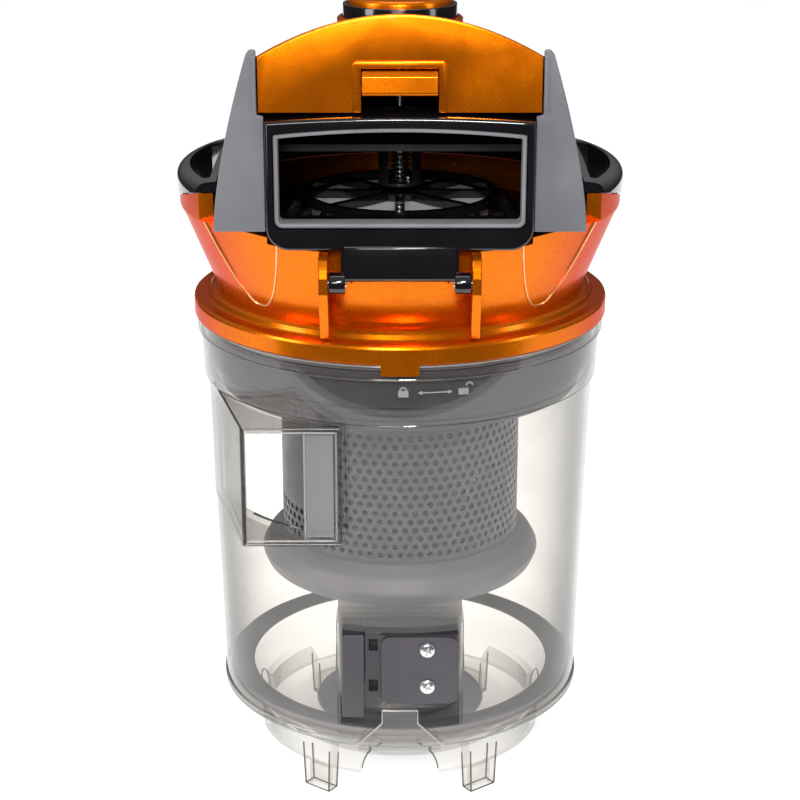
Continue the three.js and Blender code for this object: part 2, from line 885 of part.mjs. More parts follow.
const trayFrom = ringFront + 6.5; // finger recess in the ring's top, along Y
const trayTo = 30;
const trayDepth = 9;
const trayWall = 1.6;

function saddleRing() {
  const foot = flareTop + GAP;
  const inner = flareInside(flareTop);
  const ring = turned([
    [inner, foot],
    [flareTopRadius + 0.3, foot],
    [ringRadius, foot + 2.6],
    [ringRadius, ringTop - 6],
    [ringRadius - 1.4, ringTop - 3],
    [ringRadius - 4.2, ringTop - 1.6],
    [ringInnerRadius + 2, ringTop],
    [ringInnerRadius, ringTop],
    [ringInnerRadius, ringTop - 3.6],
    [inner + 0.4, ringTop - 5.4],
  ]);
  const trays = [1, -1].map((side) => fingerTray(side, trayWall));
  const pockets = [1, -1].map((side) => fingerTray(side, 0));
  const seamed = ring.intersect(aboveRingSeam(GAP));
  return cut(join(seamed, ...trays), ...pockets, ringOpening(), ...facetCuts(flareFoot));
}

// recess between a straight inner side and the ring's curve; wall 0 gives the room itself
function fingerTray(side, wall) {
  const inner = ringInnerRadius + 2 - wall;
  const top = wall > 0 ? ringTop - 2.6 : ringTop + 1;
  const room = disc(ringRadius - 5.5 + wall, ringTop - trayDepth - wall, top, FINE);
  const edges = [side * inner, side * FAR].sort((a, b) => a - b);
  return room.intersect(box(edges[0], edges[1], trayFrom - wall, trayTo + wall, 0, FAR));
}

// ---------------------------------------------------------------- filter

function spokes(radius, width, z0, z1) {
  const bars = [];
  for (let i = 0; i < spokeCount / 2; i += 1) {
    const geometry = new THREE.BoxGeometry(2 * radius, width, z1 - z0);
    geometry.translate(0, 0, (z0 + z1) / 2);
    geometry.rotateZ(Math.PI / 2 + (2 * Math.PI * i) / spokeCount);
    bars.push(solid(geometry));
  }
  return join(...bars);
}

function filterFrame() {
  const rimFoot = tube(filterRadius, filterRadius - 3, filterFoot, filterFoot + 3);
  const band = tube(filterShoulder + 2.4, filterShoulder - 1, filterTop - spokeDepth, filterTop);
  const hub = disc(cageRadius - 0.1, filterTop - spokeDepth, filterTop, COARSE);
  const flank = turned([
    [filterShoulder - 1, filterTop - spokeDepth],
    [filterRadius - 3, filterFoot],
    [filterRadius, filterFoot],
    [filterRadius, filterFoot + 2],
    [filterShoulder + 2.4, filterTop],
    [filterShoulder - 1, filterTop],
  ], COARSE);
  const ribs = spokes(filterRadius - 0.5, spokeWidth, filterFoot, filterTop).intersect(flank);
  const bars = spokes(filterShoulder, spokeWidth, filterTop - spokeDepth, filterTop);
  return join(rimFoot, band, hub, ribs, bars);
}

function filterMedia() {
  const z1 = filterTop - spokeDepth - GAP;
  return disc(filterShoulder - 2.2, filterFoot + 0.5, z1, COARSE);
}

function filterSeal() {
  return tube(filterRadius, filterRadius - 5, floorTop + GAP, filterFoot - GAP);
}

// ---------------------------------------------------------------- cover

// half-width of the cover at a height: steep at the base, leaning in towards the tips
function sideEdge(z) {
  const share = Math.max(0, (z - coverBase) / (plateTip - coverBase));
  return sideBase - (sideBase - sideTop) * share ** 1.5;
}

function lidArch(x) {
  return lidFrontTop - lidCrown * (x / lidHalfWidth) ** 2;
}

// height of the cover's middle line above the flange: a gentle fall, then a round back
function topLine(y) {
  const round = Math.max(0, y - roundFrom) / (coverBack - roundFrom);
  return lidFrontTop - lidFall * (y - coverFront) - roundDrop * round ** 2.4;
}

// the closed form of the whole cover; inset gives the inner face of its wall
function coverForm(inset) {
  const base = coverBase - (inset > 0 ? 1 : 0);
  const side = [];
  const sideSteps = 4;
  const sideTopHeight = lidArch(sideTop);
  for (let i = 0; i <= sideSteps; i += 1) {
    const z = coverBase + ((sideTopHeight - coverBase) * i) / sideSteps;
    const drop = i === sideSteps ? inset : 0;
    side.push([sideEdge(z) - plateInset - inset, i === 0 ? base : z - drop]);
  }
  const arch = [];
  const archSteps = 8;
  const reach = sideEdge(sideTopHeight) - plateInset - inset;
  for (let i = 1; i < archSteps; i += 1) {
    const x = reach * (1 - (2 * i) / archSteps);
    arch.push([x, lidArch(x) - inset]);
  }
  const section = [...side, ...arch, ...mirrored(side)];
  const y0 = coverFront + inset;
  const y1 = coverBack - inset;
  const settings = { depth: y1 - y0, steps: 10, bevelEnabled: false };
  const geometry = new THREE.ExtrudeGeometry(outline(section), settings);
  geometry.rotateX(Math.PI / 2);
  geometry.translate(0, y1, 0);
  const position = geometry.attributes.position;
  for (let i = 0; i < position.count; i += 1) {
    const y = position.getY(i);
    const scale = (topLine(y) - inset - coverBase) / (lidFrontTop - inset - coverBase);
    const z = position.getZ(i);
    if (z > coverBase) position.setZ(i, coverBase + (z - coverBase) * scale);
  }
  const plan = join(
    disc(coverBack - inset, 0, FAR, FINE),
    box(-sideBase, sideBase, coverFront - 1, -9, 0, FAR),
  );
  return solid(geometry).intersect(plan);
}

// height of the seam between the lid and the shell, which falls evenly to the back
function seamHeight(y) {
  const share = Math.max(0, (y - coverFront) / (coverBack - coverFront));
  return lidSeamFront + (lidSeamBack - lidSeamFront) * share;
}

function aboveSeam(halfWidth, shift) {
  const past = 10;
  const [front, back] = [coverFront - past, coverBack + past];
  const seam = [
    [front, seamHeight(front) + shift],
    [coverFront, seamHeight(coverFront) + shift],
    [back, seamHeight(back) + shift],
    [back, FAR],
    [front, FAR],
  ];
  return prismX(seam, -halfWidth, halfWidth);
}

function catchNotch(margin) {
  const halfWidth = catchHalfWidth + margin;
  return box(-halfWidth, halfWidth, coverFront - 5, coverFront + 4, lidSeamFront - 2, catchTop + margin);
}

function topLid(coverShellWhole) {
  const buttonHole = disc(buttonRadius + GAP + bezelWall + GAP, ceilingUnderside, FAR, COARSE);
  const lid = coverShellWhole.intersect(aboveSeam(lidHalfWidth, 0));
  return cut(lid, catchNotch(GAP), buttonHole);
}

function coverShell(coverShellWhole) {
  const plateRoom = join(
    box(ductHalfWidth - 1, FAR, coverFront - 5, coverFront + plateThickness + GAP, 0, FAR),
    box(-FAR, -ductHalfWidth + 1, coverFront - 5, coverFront + plateThickness + GAP, 0, FAR),
  );
  const half = ductHalfWidth + GAP;
  const ductRoom = box(-half, half, coverFront - 5, coverFront + 30, 0, lidSeamFront + 8);
  return cut(coverShellWhole, aboveSeam(lidHalfWidth + GAP, -GAP), plateRoom, ductRoom);
}

function sidePlate(side) {
  const inner = lidHalfWidth + 2 * GAP;
  const low = ductHalfWidth + GAP + 0.2;
  const foot = coverBase - 1.3;
  const shoulder = plateTip - 1.5;
  const edge = [];
  const steps = 10;
  for (let i = 0; i <= steps; i += 1) {
    const z = foot + ((shoulder - foot) * i) / steps;
    edge.push([sideEdge(z), z]);
  }
  const tip = [[sideTop - 1.2, plateTip], [inner, plateTip]];
  const points = [[low, foot], ...edge, ...tip, [inner, ductTop + 1.5], [low, ductTop + 1]];
  return prismY(side > 0 ? points : mirrored(points), coverFront, coverFront + plateThickness);
}

function ductTopEdge(height, halfWidth, rise) {
  const points = [];
  const steps = 8;
  for (let i = 0; i <= steps; i += 1) {
    const x = halfWidth * (1 - (2 * i) / steps);
    points.push([x, height + rise * (1 - (x / halfWidth) ** 2)]);
  }
  return points;
}

function ductSection(halfWidth, bottom, top, corner, rise) {
  return [
    ...arc(-halfWidth + corner, bottom + corner, corner, 180, 270, 5),
    ...arc(halfWidth - corner, bottom + corner, corner, 270, 360, 5),
    ...ductTopEdge(top, halfWidth, rise),
  ];
}

// plate under the duct, with a round lower edge, and a barrel at each end for the hinge pins
function hingeBracket() {
  const front = ductFront - 1.8;
  const root = ductBottom + 1.5;
  const edgeHeight = coverHingeZ + 3;
  const plate = [
    [front, root],
    [front, edgeHeight],
    ...arc(coverHingeY, edgeHeight, 2.4, 200, 340, 5),
    [coverHingeY + 2.4, root],
  ];
  const reach = barrelInner + barrelLength;
  const barrels = join(
    rod(barrelRadius, barrelInner, reach, coverHingeY, coverHingeZ),
    rod(barrelRadius, -reach, -barrelInner, coverHingeY, coverHingeZ),
  );
  const [neckFrom, neckTo] = [barrelInner - 2.5, barrelInner + 1.5];
  const neck = box(neckFrom, neckTo, ductFront, coverHingeY + 2.4, coverHingeZ, ductBottom + 1);
  const otherNeck = neck.mirror([1, 0, 0]);
  return join(prismX(plate, -barrelInner - 0.4, barrelInner + 0.4), barrels, neck, otherNeck);
}

function outletDuct() {
  const section = ductSection(ductHalfWidth, ductBottom, ductTop, ductCorner, 1.6);
  const outside = prismY(section, ductFront, ductBack);
  const innerHalf = ductHalfWidth - ductSideWall;
  const inside = prismY(ductSection(innerHalf, ductFloor, ductCeiling, 3, 2.4), ductFront - 1, ductBack + 1);
  const boreEnd = barrelInner - 2;
  const bores = [1, -1].map((side) => {
    const ends = [boreEnd * side, FAR * side].sort((a, b) => a - b);
    return rod(hingePinRadius + RUNNING, ends[0], ends[1], coverHingeY, coverHingeZ);
  });
  return cut(join(outside, hingeBracket()), inside, ...bores);
}

function outletSeal() {
  const half = ductHalfWidth - ductSideWall - GAP;
  const [low, high] = [ductFloor + GAP, ductCeiling - GAP];
  const y0 = ductFront + 4.5;
  const outside = prismY(ductSection(half, low, high, 2.8, 2.4), y0, y0 + 6);
  const inside = prismY(ductSection(half - sealLip, low + sealLip, high - sealLip, 1.6, 2.3), y0 - 1, y0 + 7);
  return outside.subtract(inside);
}

function coverHingePin() {
  return rod(hingePinRadius, 0, barrelLength + ribThickness + GAP, 0, 0);
}

function ceilingPanel() {
  const room = coverForm(coverWall + GAP).intersect(
    box(-FAR, FAR, ductBack + GAP, FAR, ceilingUnderside, ceilingUnderside + ceilingThickness),
  );
  return room.subtract(disc(cageRadius, 0, FAR, COARSE));
}

const hubFoot = ceilingUnderside - GAP - hubDepth;

function hubPlate() {
  const z1 = ceilingUnderside - GAP;
  const boss = 3.6;
  const hole = 1.6;
  const hub = disc(hubRadius, hubFoot, z1, COARSE);
  const arms = box(-hubScrewX, hubScrewX, -boss, boss, z1 - 2.4, z1);
  const bosses = [hubScrewX, -hubScrewX].map((x) => disc(boss, hubFoot, z1, SMALL).translate([x, 0, 0]));
  const holes = [hubScrewX, -hubScrewX].map((x) => disc(hole, 0, FAR, SMALL).translate([x, 0, 0]));
  return cut(join(hub, arms, ...bosses), disc(rodRadius + 2.2, 0, FAR, SMALL), ...holes);
}

// screw at the origin, its head below the boss
function hubScrew() {
  const head = turned([[0, -2.2], [3.4, -1.6], [4, -GAP - 0.1], [4, -GAP], [0, -GAP]], SMALL);
  return join(head, disc(screwShankRadius - 0.05, -GAP - 0.3, hubDepth - 0.6, SMALL));
}

function plungerCage() {
  const top = hubFoot - GAP;
  const floor = cageFloor + cageFloorThickness;
  const windowHalf = 4.6;
  const wall = tube(cageRadius, cageRadius - 1.8, cageFloor, top);
  const base = disc(cageRadius, cageFloor, floor, COARSE);
  const window = box(-windowHalf, windowHalf, -FAR, FAR, floor, top - 2.4);
  return cut(join(wall, base).subtract(window), disc(rodRadius + 1, 0, FAR, SMALL));
}

function plunger() {
  const rodFoot = cageFloor + buttonTravel + 0.4;
  const shaft = disc(rodRadius, rodFoot, rodTop, SMALL);
  const collar = disc(rodRadius + 1.6, springTop + GAP, springTop + 2.3, SMALL);
  return join(shaft, collar);
}

function plungerSpring() {
  const height = springTop - cageFloor - cageFloorThickness - GAP;
  return coilSpring(springRadius, springWire, 4, 0, height);
}

const skirtClear = 0.5; // room left under the cap at the end of its travel

function buttonBezel() {
  const inner = buttonRadius + GAP;
  const outer = inner + bezelWall;
  const hole = rodRadius + 2.6;
  return turned([
    [hole, bezelFloor],
    [outer, bezelFloor],
    [outer, bezelTop],
    [inner, bezelTop],
    [inner, bezelFloor + bezelFloorThickness],
    [hole, bezelFloor + bezelFloorThickness],
  ], COARSE);
}

function buttonCap() {
  const skirtFootHeight = bezelFloor + bezelFloorThickness + buttonTravel + skirtClear;
  const crown = 0.8;
  const post = rodRadius + 1.6;
  const wall = 1.8;
  const roof = buttonTop - 2.6;
  return turned([
    [0, rodTop + GAP],
    [post, rodTop + GAP],
    [post, roof],
    [buttonRadius - wall, roof],
    [buttonRadius - wall, skirtFootHeight],
    [buttonRadius, skirtFootHeight],
    [buttonRadius, buttonTop - 1],
    [buttonRadius - 1, buttonTop],
    [0, buttonTop + crown],
  ], COARSE);
}

const catchPinY = coverFront + 1.4;
const catchPinZ = catchTop - 2.6;
const catchPinRadius = 0.8;

function catchTongue() {
  const profile = [
    [coverFront + 3, catchTop - 0.6],
    [coverFront - 0.6, catchTop - 0.6],
    [coverFront - 2.2, catchTop - 2.4],
    [coverFront - 2.8, catchBottom + 1],
    [coverFront - 2.2, catchBottom],
    [coverFront - 0.2, catchBottom],
    [coverFront + 0.4, catchBottom + 4.2],
    [coverFront + 3, catchTop - 4.4],
  ];
  const body = prismX(profile, -catchHalfWidth, catchHalfWidth);
  return body.subtract(rod(catchPinRadius + RUNNING, -FAR, FAR, catchPinY, catchPinZ));
}

function catchPin() {
  return rod(catchPinRadius, -catchHalfWidth, catchHalfWidth, 0, 0);
}

// ---------------------------------------------------------------- assembly

function place(piece, x, y, z) {
  piece.position.set(x, y, z);
  return piece;
}

function binGroup() {
  const group = new THREE.Group();
  group.add(mesh('dust_bin', dustBin(), clearSmoke()));
  group.add(mesh('latch_housing', latchHousing(), glossBlack()));
  group.add(mesh('latch_cover', latchCover(), glossBlack()));
  ['latch_screw_upper', 'latch_screw_lower'].forEach((name, i) => {
    const { body, headBack } = latchScrew();
    const screw = mesh(name, body, steel());
    screw.rotation.x = Math.PI / 2;
    group.add(place(screw, latchScrewX, headBack, latchScrewHeights[i]));
  });
  group.add(mesh('release_slider', releaseSlider(), glossBlack()));
  const spring = mesh('release_spring', releaseSpring(), steel());
  group.add(place(spring, (sliderRight - pocketHalfWidth) / 2, pocketBack - 5, pocketFloor + GAP));
  return group;
}

function doorGroup() {
  const group = new THREE.Group();
  group.add(mesh('bottom_door', bottomDoor(), clearSmoke()));
  group.add(mesh('door_seal', doorSeal(), greyRubber()));
  group.add(place(mesh('door_hinge_pin', doorHingePin(), steel()), 0, doorHingeY, doorHingeZ));
  return group;
}

function separatorGroup() {
  const group = new THREE.Group();
  group.add(mesh('separator_collar', separatorCollar(), darkGrey()));
  group.add(mesh('mesh_cylinder', meshCylinder(), darkGrey()));
  group.add(mesh('bell_skirt', bellSkirt(), midGrey()));
  group.add(mesh('stem', stem(), midGrey()));
  group.add(mesh('stem_foot', stemFoot(), greyRubber()));
  group.add(mesh('inner_cone', innerCone(), darkGrey()));
  group.add(mesh('vortex_finder', vortexFinder(), darkGrey()));
  group.add(mesh('bin_seal', binSeal(), greyRubber()));
  return group;
}

function housingGroup() {
  const group = new THREE.Group();
  group.position.z = flangeTop;
  group.add(mesh('upper_housing', upperHousing(), candyOrange()));
  group.add(mesh('saddle_ring', saddleRing(), glossBlack()));
  group.add(mesh('filter_seal', filterSeal(), greyRubber()));
  group.add(mesh('filter_frame', filterFrame(), glossBlack()));
  group.add(mesh('filter_media', filterMedia(), paleFleece()));
  return group;
}

function coverGroup() {
  const group = new THREE.Group();
  group.position.z = flangeTop;
  const whole = coverForm(0).subtract(coverForm(coverWall));
  group.add(mesh('top_lid', topLid(whole), candyOrange()));
  group.add(mesh('cover_shell', coverShell(whole), satinBlack()));
  group.add(mesh('side_plate_left', sidePlate(-1), satinGrey()));
  group.add(mesh('side_plate_right', sidePlate(1), satinGrey()));
  group.add(mesh('outlet_duct', outletDuct(), glossBlack()));
  group.add(mesh('outlet_seal', outletSeal(), greyRubber()));
  const pinStart = barrelInner - 0.5;
  const right = mesh('hinge_pin_right', coverHingePin(), steel());
  group.add(place(right, pinStart, coverHingeY, coverHingeZ));
  const left = mesh('hinge_pin_left', coverHingePin(), steel());
  left.rotation.z = Math.PI;
  group.add(place(left, -pinStart, coverHingeY, coverHingeZ));
  group.add(mesh('ceiling_panel', ceilingPanel(), satinBlack()));
  group.add(mesh('hub_plate', hubPlate(), satinBlack()));
  group.add(place(mesh('hub_screw_left', hubScrew(), steel()), -hubScrewX, 0, hubFoot));
  group.add(place(mesh('hub_screw_right', hubScrew(), steel()), hubScrewX, 0, hubFoot));
  group.add(mesh('plunger_cage', plungerCage(), satinBlack()));
  group.add(mesh('plunger', plunger(), steel()));
  const spring = mesh('plunger_spring', plungerSpring(), steel());
  group.add(place(spring, 0, 0, cageFloor + cageFloorThickness + GAP / 2));
  group.add(mesh('button_bezel', buttonBezel(), glossBlack()));
  group.add(mesh('button_cap', buttonCap(), candyOrange()));
  group.add(mesh('catch_tongue', catchTongue(), candyOrange()));
  group.add(place(mesh('catch_pin', catchPin(), steel()), 0, catchPinY, catchPinZ));
  return group;
}

const dustContainer = new THREE.Group();
dustContainer.add(binGroup(), doorGroup(), separatorGroup(), housingGroup(), coverGroup());

export default dustContainer;
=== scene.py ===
# %% [markdown]
# # The dust container of a bagless vacuum cleaner
#
# A clear smoky bin hangs under a metallic orange housing with a black ring, a hinged cover with an outlet
# duct, and a lid with a round button. Inside the bin stand the collar, the perforated cylinder, the bell
# and the stem of the cyclone. The sizes come from a measured frame, and this file gives every piece its
# fine shape and finish.
#
# All lengths below are millimetres until a piece is finished, when it is scaled to metres.

# %% Load the measured frame
import math

import bmesh
import bpy
from mathutils import Matrix, Vector


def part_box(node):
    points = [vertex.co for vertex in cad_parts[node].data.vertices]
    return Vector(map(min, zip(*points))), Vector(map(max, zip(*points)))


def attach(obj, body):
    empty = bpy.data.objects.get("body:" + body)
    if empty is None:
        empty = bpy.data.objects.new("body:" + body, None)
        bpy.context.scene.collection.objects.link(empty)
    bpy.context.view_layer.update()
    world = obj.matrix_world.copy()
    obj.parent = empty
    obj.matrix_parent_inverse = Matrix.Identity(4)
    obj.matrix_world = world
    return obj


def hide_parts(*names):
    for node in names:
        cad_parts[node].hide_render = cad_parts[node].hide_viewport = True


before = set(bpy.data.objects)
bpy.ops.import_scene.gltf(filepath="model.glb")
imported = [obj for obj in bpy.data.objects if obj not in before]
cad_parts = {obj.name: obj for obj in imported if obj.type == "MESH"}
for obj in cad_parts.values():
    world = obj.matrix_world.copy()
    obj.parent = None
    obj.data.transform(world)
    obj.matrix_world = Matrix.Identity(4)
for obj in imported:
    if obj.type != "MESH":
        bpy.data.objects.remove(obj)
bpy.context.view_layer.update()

# %% [markdown]
# ## Helpers for solids
#
# A turned piece is a section that is swept round the upright axis, and a pressed piece is a flat outline
# that is pulled along one axis. Typing vertices by hand would be slow and easy to get wrong, so the spin
# and extrude operators do the sweeping, and a boolean joins or cuts the results.

# %% Turned and pressed solids
MM = 0.001
TURN = 2 * math.pi
ROUND = 144
MEDIUM = 72
SMALL = 28


def close_up(bm, reach=0.002):
    """Merge what touches, and point every face outwards."""
    bmesh.ops.remove_doubles(bm, verts=bm.verts, dist=reach)
    bmesh.ops.recalc_face_normals(bm, faces=bm.faces)
    return bm


def wire(bm, points, closed):
    """A chain of edges through the points."""
    verts = [bm.verts.new(p) for p in points]
    pairs = list(zip(verts, verts[1:]))
    if closed:
        pairs.append((verts[-1], verts[0]))
    edges = [bm.edges.new(pair) for pair in pairs]
    return verts, edges


def round_wire(bm, verts, radius):
    """Round the corners of a chain, except where it ends."""
    inner = [v for v in verts if len(v.link_edges) == 2]
    bmesh.ops.bevel(bm, geom=inner, offset=radius, segments=3, profile=0.5, affect="VERTICES", material=-1,
                    clamp_overlap=True)


def sweep(bm, steps):
    """Spin everything in bm a full turn about the upright axis."""
    bmesh.ops.spin(bm, geom=bm.verts[:] + bm.edges[:], cent=(0, 0, 0), axis=(0, 0, 1), angle=TURN,
                   steps=steps, use_merge=True)
    return close_up(bm)


def turned(points, steps=ROUND, rounding=0.0):
    """A solid of revolution from (radius, height) points."""
    bm = bmesh.new()
    on_axis = points[0][0] == 0 and points[-1][0] == 0
    verts, _ = wire(bm, [(r, 0, z) for r, z in points], not on_axis)
    if rounding:
        round_wire(bm, verts, rounding)
    return sweep(bm, steps)


PLANES = {
    "X": lambda u, v: (0, u, v),
    "Y": lambda u, v: (u, 0, v),
    "Z": lambda u, v: (u, v, 0),
}
AXES = {"X": Vector((1, 0, 0)), "Y": Vector((0, 1, 0)), "Z": Vector((0, 0, 1))}


def pressed(outline, axis, start, end):
    """A flat outline, given in the other two axes, pulled from start to end along an axis."""
    bm = bmesh.new()
    verts = [bm.verts.new(Vector(PLANES[axis](u, v)) + AXES[axis] * start) for u, v in outline]
    face = bm.faces.new(verts)
    grown = bmesh.ops.extrude_face_region(bm, geom=[face])["geom"]
    moved = [g for g in grown if isinstance(g, bmesh.types.BMVert)]
    bmesh.ops.translate(bm, vec=AXES[axis] * (end - start), verts=moved)
    return close_up(bm)


def block(x0, x1, y0, y1, z0, z1):
    return pressed([(x0, z0), (x1, z0), (x1, z1), (x0, z1)], "Y", y0, y1)


def bar(radius, axis, start, end, u, v, steps=SMALL):
    """A round bar along an axis."""
    return pressed(arc(u, v, radius, 0, 360 - 360 / steps, steps - 1), axis, start, end)


def arc(u, v, radius, first, last, steps):
    points = []
    for i in range(steps + 1):
        angle = math.radians(first + (last - first) * i / steps)
        points.append((u + radius * math.cos(angle), v + radius * math.sin(angle)))
    return points


def mirrored(points):
    return [(-u, v) for u, v in reversed(points)]


def bead(path, radius, closed=False, sides=8):
    """A thin round bead along a line of points."""
    points = [Vector(p) for p in path]
    bm = bmesh.new()
    rings = []
    for i, point in enumerate(points):
        before = points[i - 1] if i or closed else point
        after = points[(i + 1) % len(points)] if closed or i + 1 < len(points) else point
        along = (after - before).normalized()
        turn = Vector((0, 0, 1)).rotation_difference(along).to_matrix()
        corners = arc(0, 0, radius, 0, 360 - 360 / sides, sides - 1)
        ring = [point + turn @ Vector((*corner, 0)) for corner in corners]
        rings.append(wire(bm, ring, True))
    joints = list(zip(rings, rings[1:]))
    if closed:
        joints.append((rings[-1], rings[0]))
    for (_, near), (_, far) in joints:
        bmesh.ops.bridge_loops(bm, edges=near + far)
    if not closed:
        for verts, _ in (rings[0], rings[-1]):
            bm.faces.new(verts)
    bmesh.ops.recalc_face_normals(bm, faces=bm.faces)
    return bm


def level_circle(radius, z, steps=ROUND):
    return [(x, y, z) for x, y in arc(0, 0, radius, 0, 360 - 360 / steps, steps - 1)]


print("solids are ready")

# %% [markdown]
# ## Joining and cutting
#
# Holes and pockets that cross a curved wall are hard to build face by face. A boolean modifier cuts them in
# one go. Each tool is a closed solid, so the result is closed too, and the modifier's result is kept as a
# plain mesh.

# %% Booleans
CUT, JOIN, KEEP = "DIFFERENCE", "UNION", "INTERSECT"


def loose_object(bm):
    mesh = bpy.data.meshes.new("work")
    bm.to_mesh(mesh)
    bm.free()
    thing = bpy.data.objects.new("work", mesh)
    bpy.context.scene.collection.objects.link(thing)
    return thing


def worked(base, *steps):
    """Join, cut or keep solids in turn, and return the result."""
    holder = loose_object(base)
    tools = []
    for how, tool in steps:
        tools.append(loose_object(tool))
        modifier = holder.modifiers.new(how, "BOOLEAN")
        modifier.operation = how
        modifier.solver = "MANIFOLD"
        modifier.object = tools[-1]
    bpy.context.view_layer.update()
    finished = holder.evaluated_get(bpy.context.evaluated_depsgraph_get())
    result = bmesh.new()
    result.from_mesh(finished.data)
    for thing in [holder, *tools]:
        mesh = thing.data
        bpy.data.objects.remove(thing)
        bpy.data.meshes.remove(mesh)
    return result


def put_together(*parts):
    """Several separate solids in one mesh."""
    whole = bmesh.new()
    for part in parts:
        mesh = bpy.data.meshes.new("work")
        part.to_mesh(mesh)
        part.free()
        whole.from_mesh(mesh)
        bpy.data.meshes.remove(mesh)
    return whole


print("booleans are ready")

# %% [markdown]
# ## Working from the frame
#
# Many pieces already have the right section or outline in the frame, only coarse. A turned piece is cut
# along its axis to get its section back, its corners are rounded, and it is spun again in fine steps. A
# flat-sided piece is copied, its triangles are dissolved into whole faces, and its edges are rounded as a
# moulding's are.

# %% Sections and copies of the frame's pieces
def copy_of(node):
    bm = bmesh.new()
    bm.from_mesh(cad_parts[node].data)
    bmesh.ops.scale(bm, vec=(1000, 1000, 1000), verts=bm.verts)
    return close_up(bm)


def box_of(node):
    """Lowest and highest corner of a frame piece."""
    low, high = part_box(node)
    return low * 1000, high * 1000


def respun(node, rounding=0.4, steps=ROUND, x=0.0):
    """The frame piece's own section, rounded and spun again about the upright line at x."""
    bm = copy_of(node)
    bmesh.ops.translate(bm, vec=(-x, 0, 0), verts=bm.verts)
    bmesh.ops.bisect_plane(bm, geom=bm.verts[:] + bm.edges[:] + bm.faces[:], dist=0.001, plane_co=(0, 0, 0),
                           plane_no=(0, 1, 0), clear_inner=True, clear_outer=True)
    bmesh.ops.delete(bm, geom=[v for v in bm.verts if v.co.x < -0.001], context="VERTS")
    bmesh.ops.dissolve_limit(bm, angle_limit=math.radians(0.5), verts=bm.verts, edges=bm.edges)
    if rounding:
        round_wire(bm, bm.verts[:], rounding)
    sweep(bm, steps)
    bmesh.ops.translate(bm, vec=(x, 0, 0), verts=bm.verts)
    return bm


def soften(bm, width, segments=2, sharper_than=30):
    """Round every edge that is sharper than an angle."""
    limit = math.radians(sharper_than)
    edges = [e for e in bm.edges if len(e.link_faces) == 2 and e.calc_face_angle(0) > limit]
    bmesh.ops.bevel(bm, geom=edges, offset=width, segments=segments, profile=0.5, affect="EDGES", material=-1,
                    clamp_overlap=True)
    return bm


def moulded(node, width=0.4, segments=2, sharper_than=30):
    """A copy of the frame piece with whole faces and rounded edges."""
    bm = copy_of(node)
    bmesh.ops.dissolve_limit(bm, angle_limit=math.radians(1), verts=bm.verts, edges=bm.edges)
    return soften(bm, width, segments, sharper_than)


print("pieces in the frame:", len(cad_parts))

# %% [markdown]
# ## Finishing a piece
#
# A finished piece is scaled to metres, shaded smooth up to a crease angle, given its finish, and tied to
# the body it moves with. On turned surfaces that were cut, the shading would pick up small errors at the
# cut, so their normals are set to point straight away from the axis.

# %% Finish a piece
def shade_round(mesh, tolerance=10):
    """Turn the normals of turned surfaces to point straight away from, or at, the upright axis."""
    limit = math.cos(math.radians(tolerance))
    normals = [Vector(corner.vector) for corner in mesh.corner_normals]
    for polygon in mesh.polygons:
        level = Vector((polygon.normal.x, polygon.normal.y, 0))
        outward = Vector((polygon.center.x, polygon.center.y, 0))
        if level.length < 0.05 or outward.length < 1e-6:
            continue
        facing = level.normalized().dot(outward.normalized())
        if abs(facing) < limit:
            continue
        for corner in polygon.loop_indices:
            place = mesh.vertices[mesh.loops[corner].vertex_index].co
            away = Vector((place.x, place.y, 0))
            if away.length < 1e-6:
                continue
            old = normals[corner]
            flat = math.hypot(old.x, old.y) * math.copysign(1, facing)
            normals[corner] = away.normalized() * flat + Vector((0, 0, old.z))
    mesh.normals_split_custom_set(normals)


pieces_made = []


def finish_piece(name, bm, body, finish, stands_for=(), crease=35, round_shading=False, weighted=False):
    close_up(bm, 0.0005)
    bmesh.ops.scale(bm, vec=(MM, MM, MM), verts=bm.verts)
    mesh = bpy.data.meshes.new(name)
    bm.to_mesh(mesh)
    bm.free()
    for polygon in mesh.polygons:
        polygon.use_smooth = True
    mesh.set_sharp_from_angle(angle=math.radians(crease))
    if round_shading:
        shade_round(mesh)
    slot_name, material = finish
    mesh.materials.append(material)
    piece = bpy.data.objects.new(name, mesh)
    bpy.context.scene.collection.objects.link(piece)
    if weighted:
        piece.modifiers.new("even shading", "WEIGHTED_NORMAL").keep_sharp = True
    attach(piece, body)
    if stands_for:
        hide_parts(*stands_for)
    pieces_made.append(name)
    print(f"{name}: {len(mesh.polygons)} faces")
    return piece


# %% [markdown]
# ## Finishes
#
# Each finish is a small node tree on object coordinates. Moulded plastic has a faint grain, a little
# unevenness in its gloss, and slow changes of tone. Metallic paint adds fine flakes under a clear coat. A
# clear wall lets light through, gets darker where it is seen edge on, and mirrors the room as glass does.

# %% Node helpers
def colour(code):
    """A hexadecimal sRGB colour as linear light."""
    parts = [int(code[i:i + 2], 16) / 255 for i in (0, 2, 4)]
    linear = [p / 12.92 if p <= 0.04045 else ((p + 0.055) / 1.055) ** 2.4 for p in parts]
    return (*linear, 1.0)


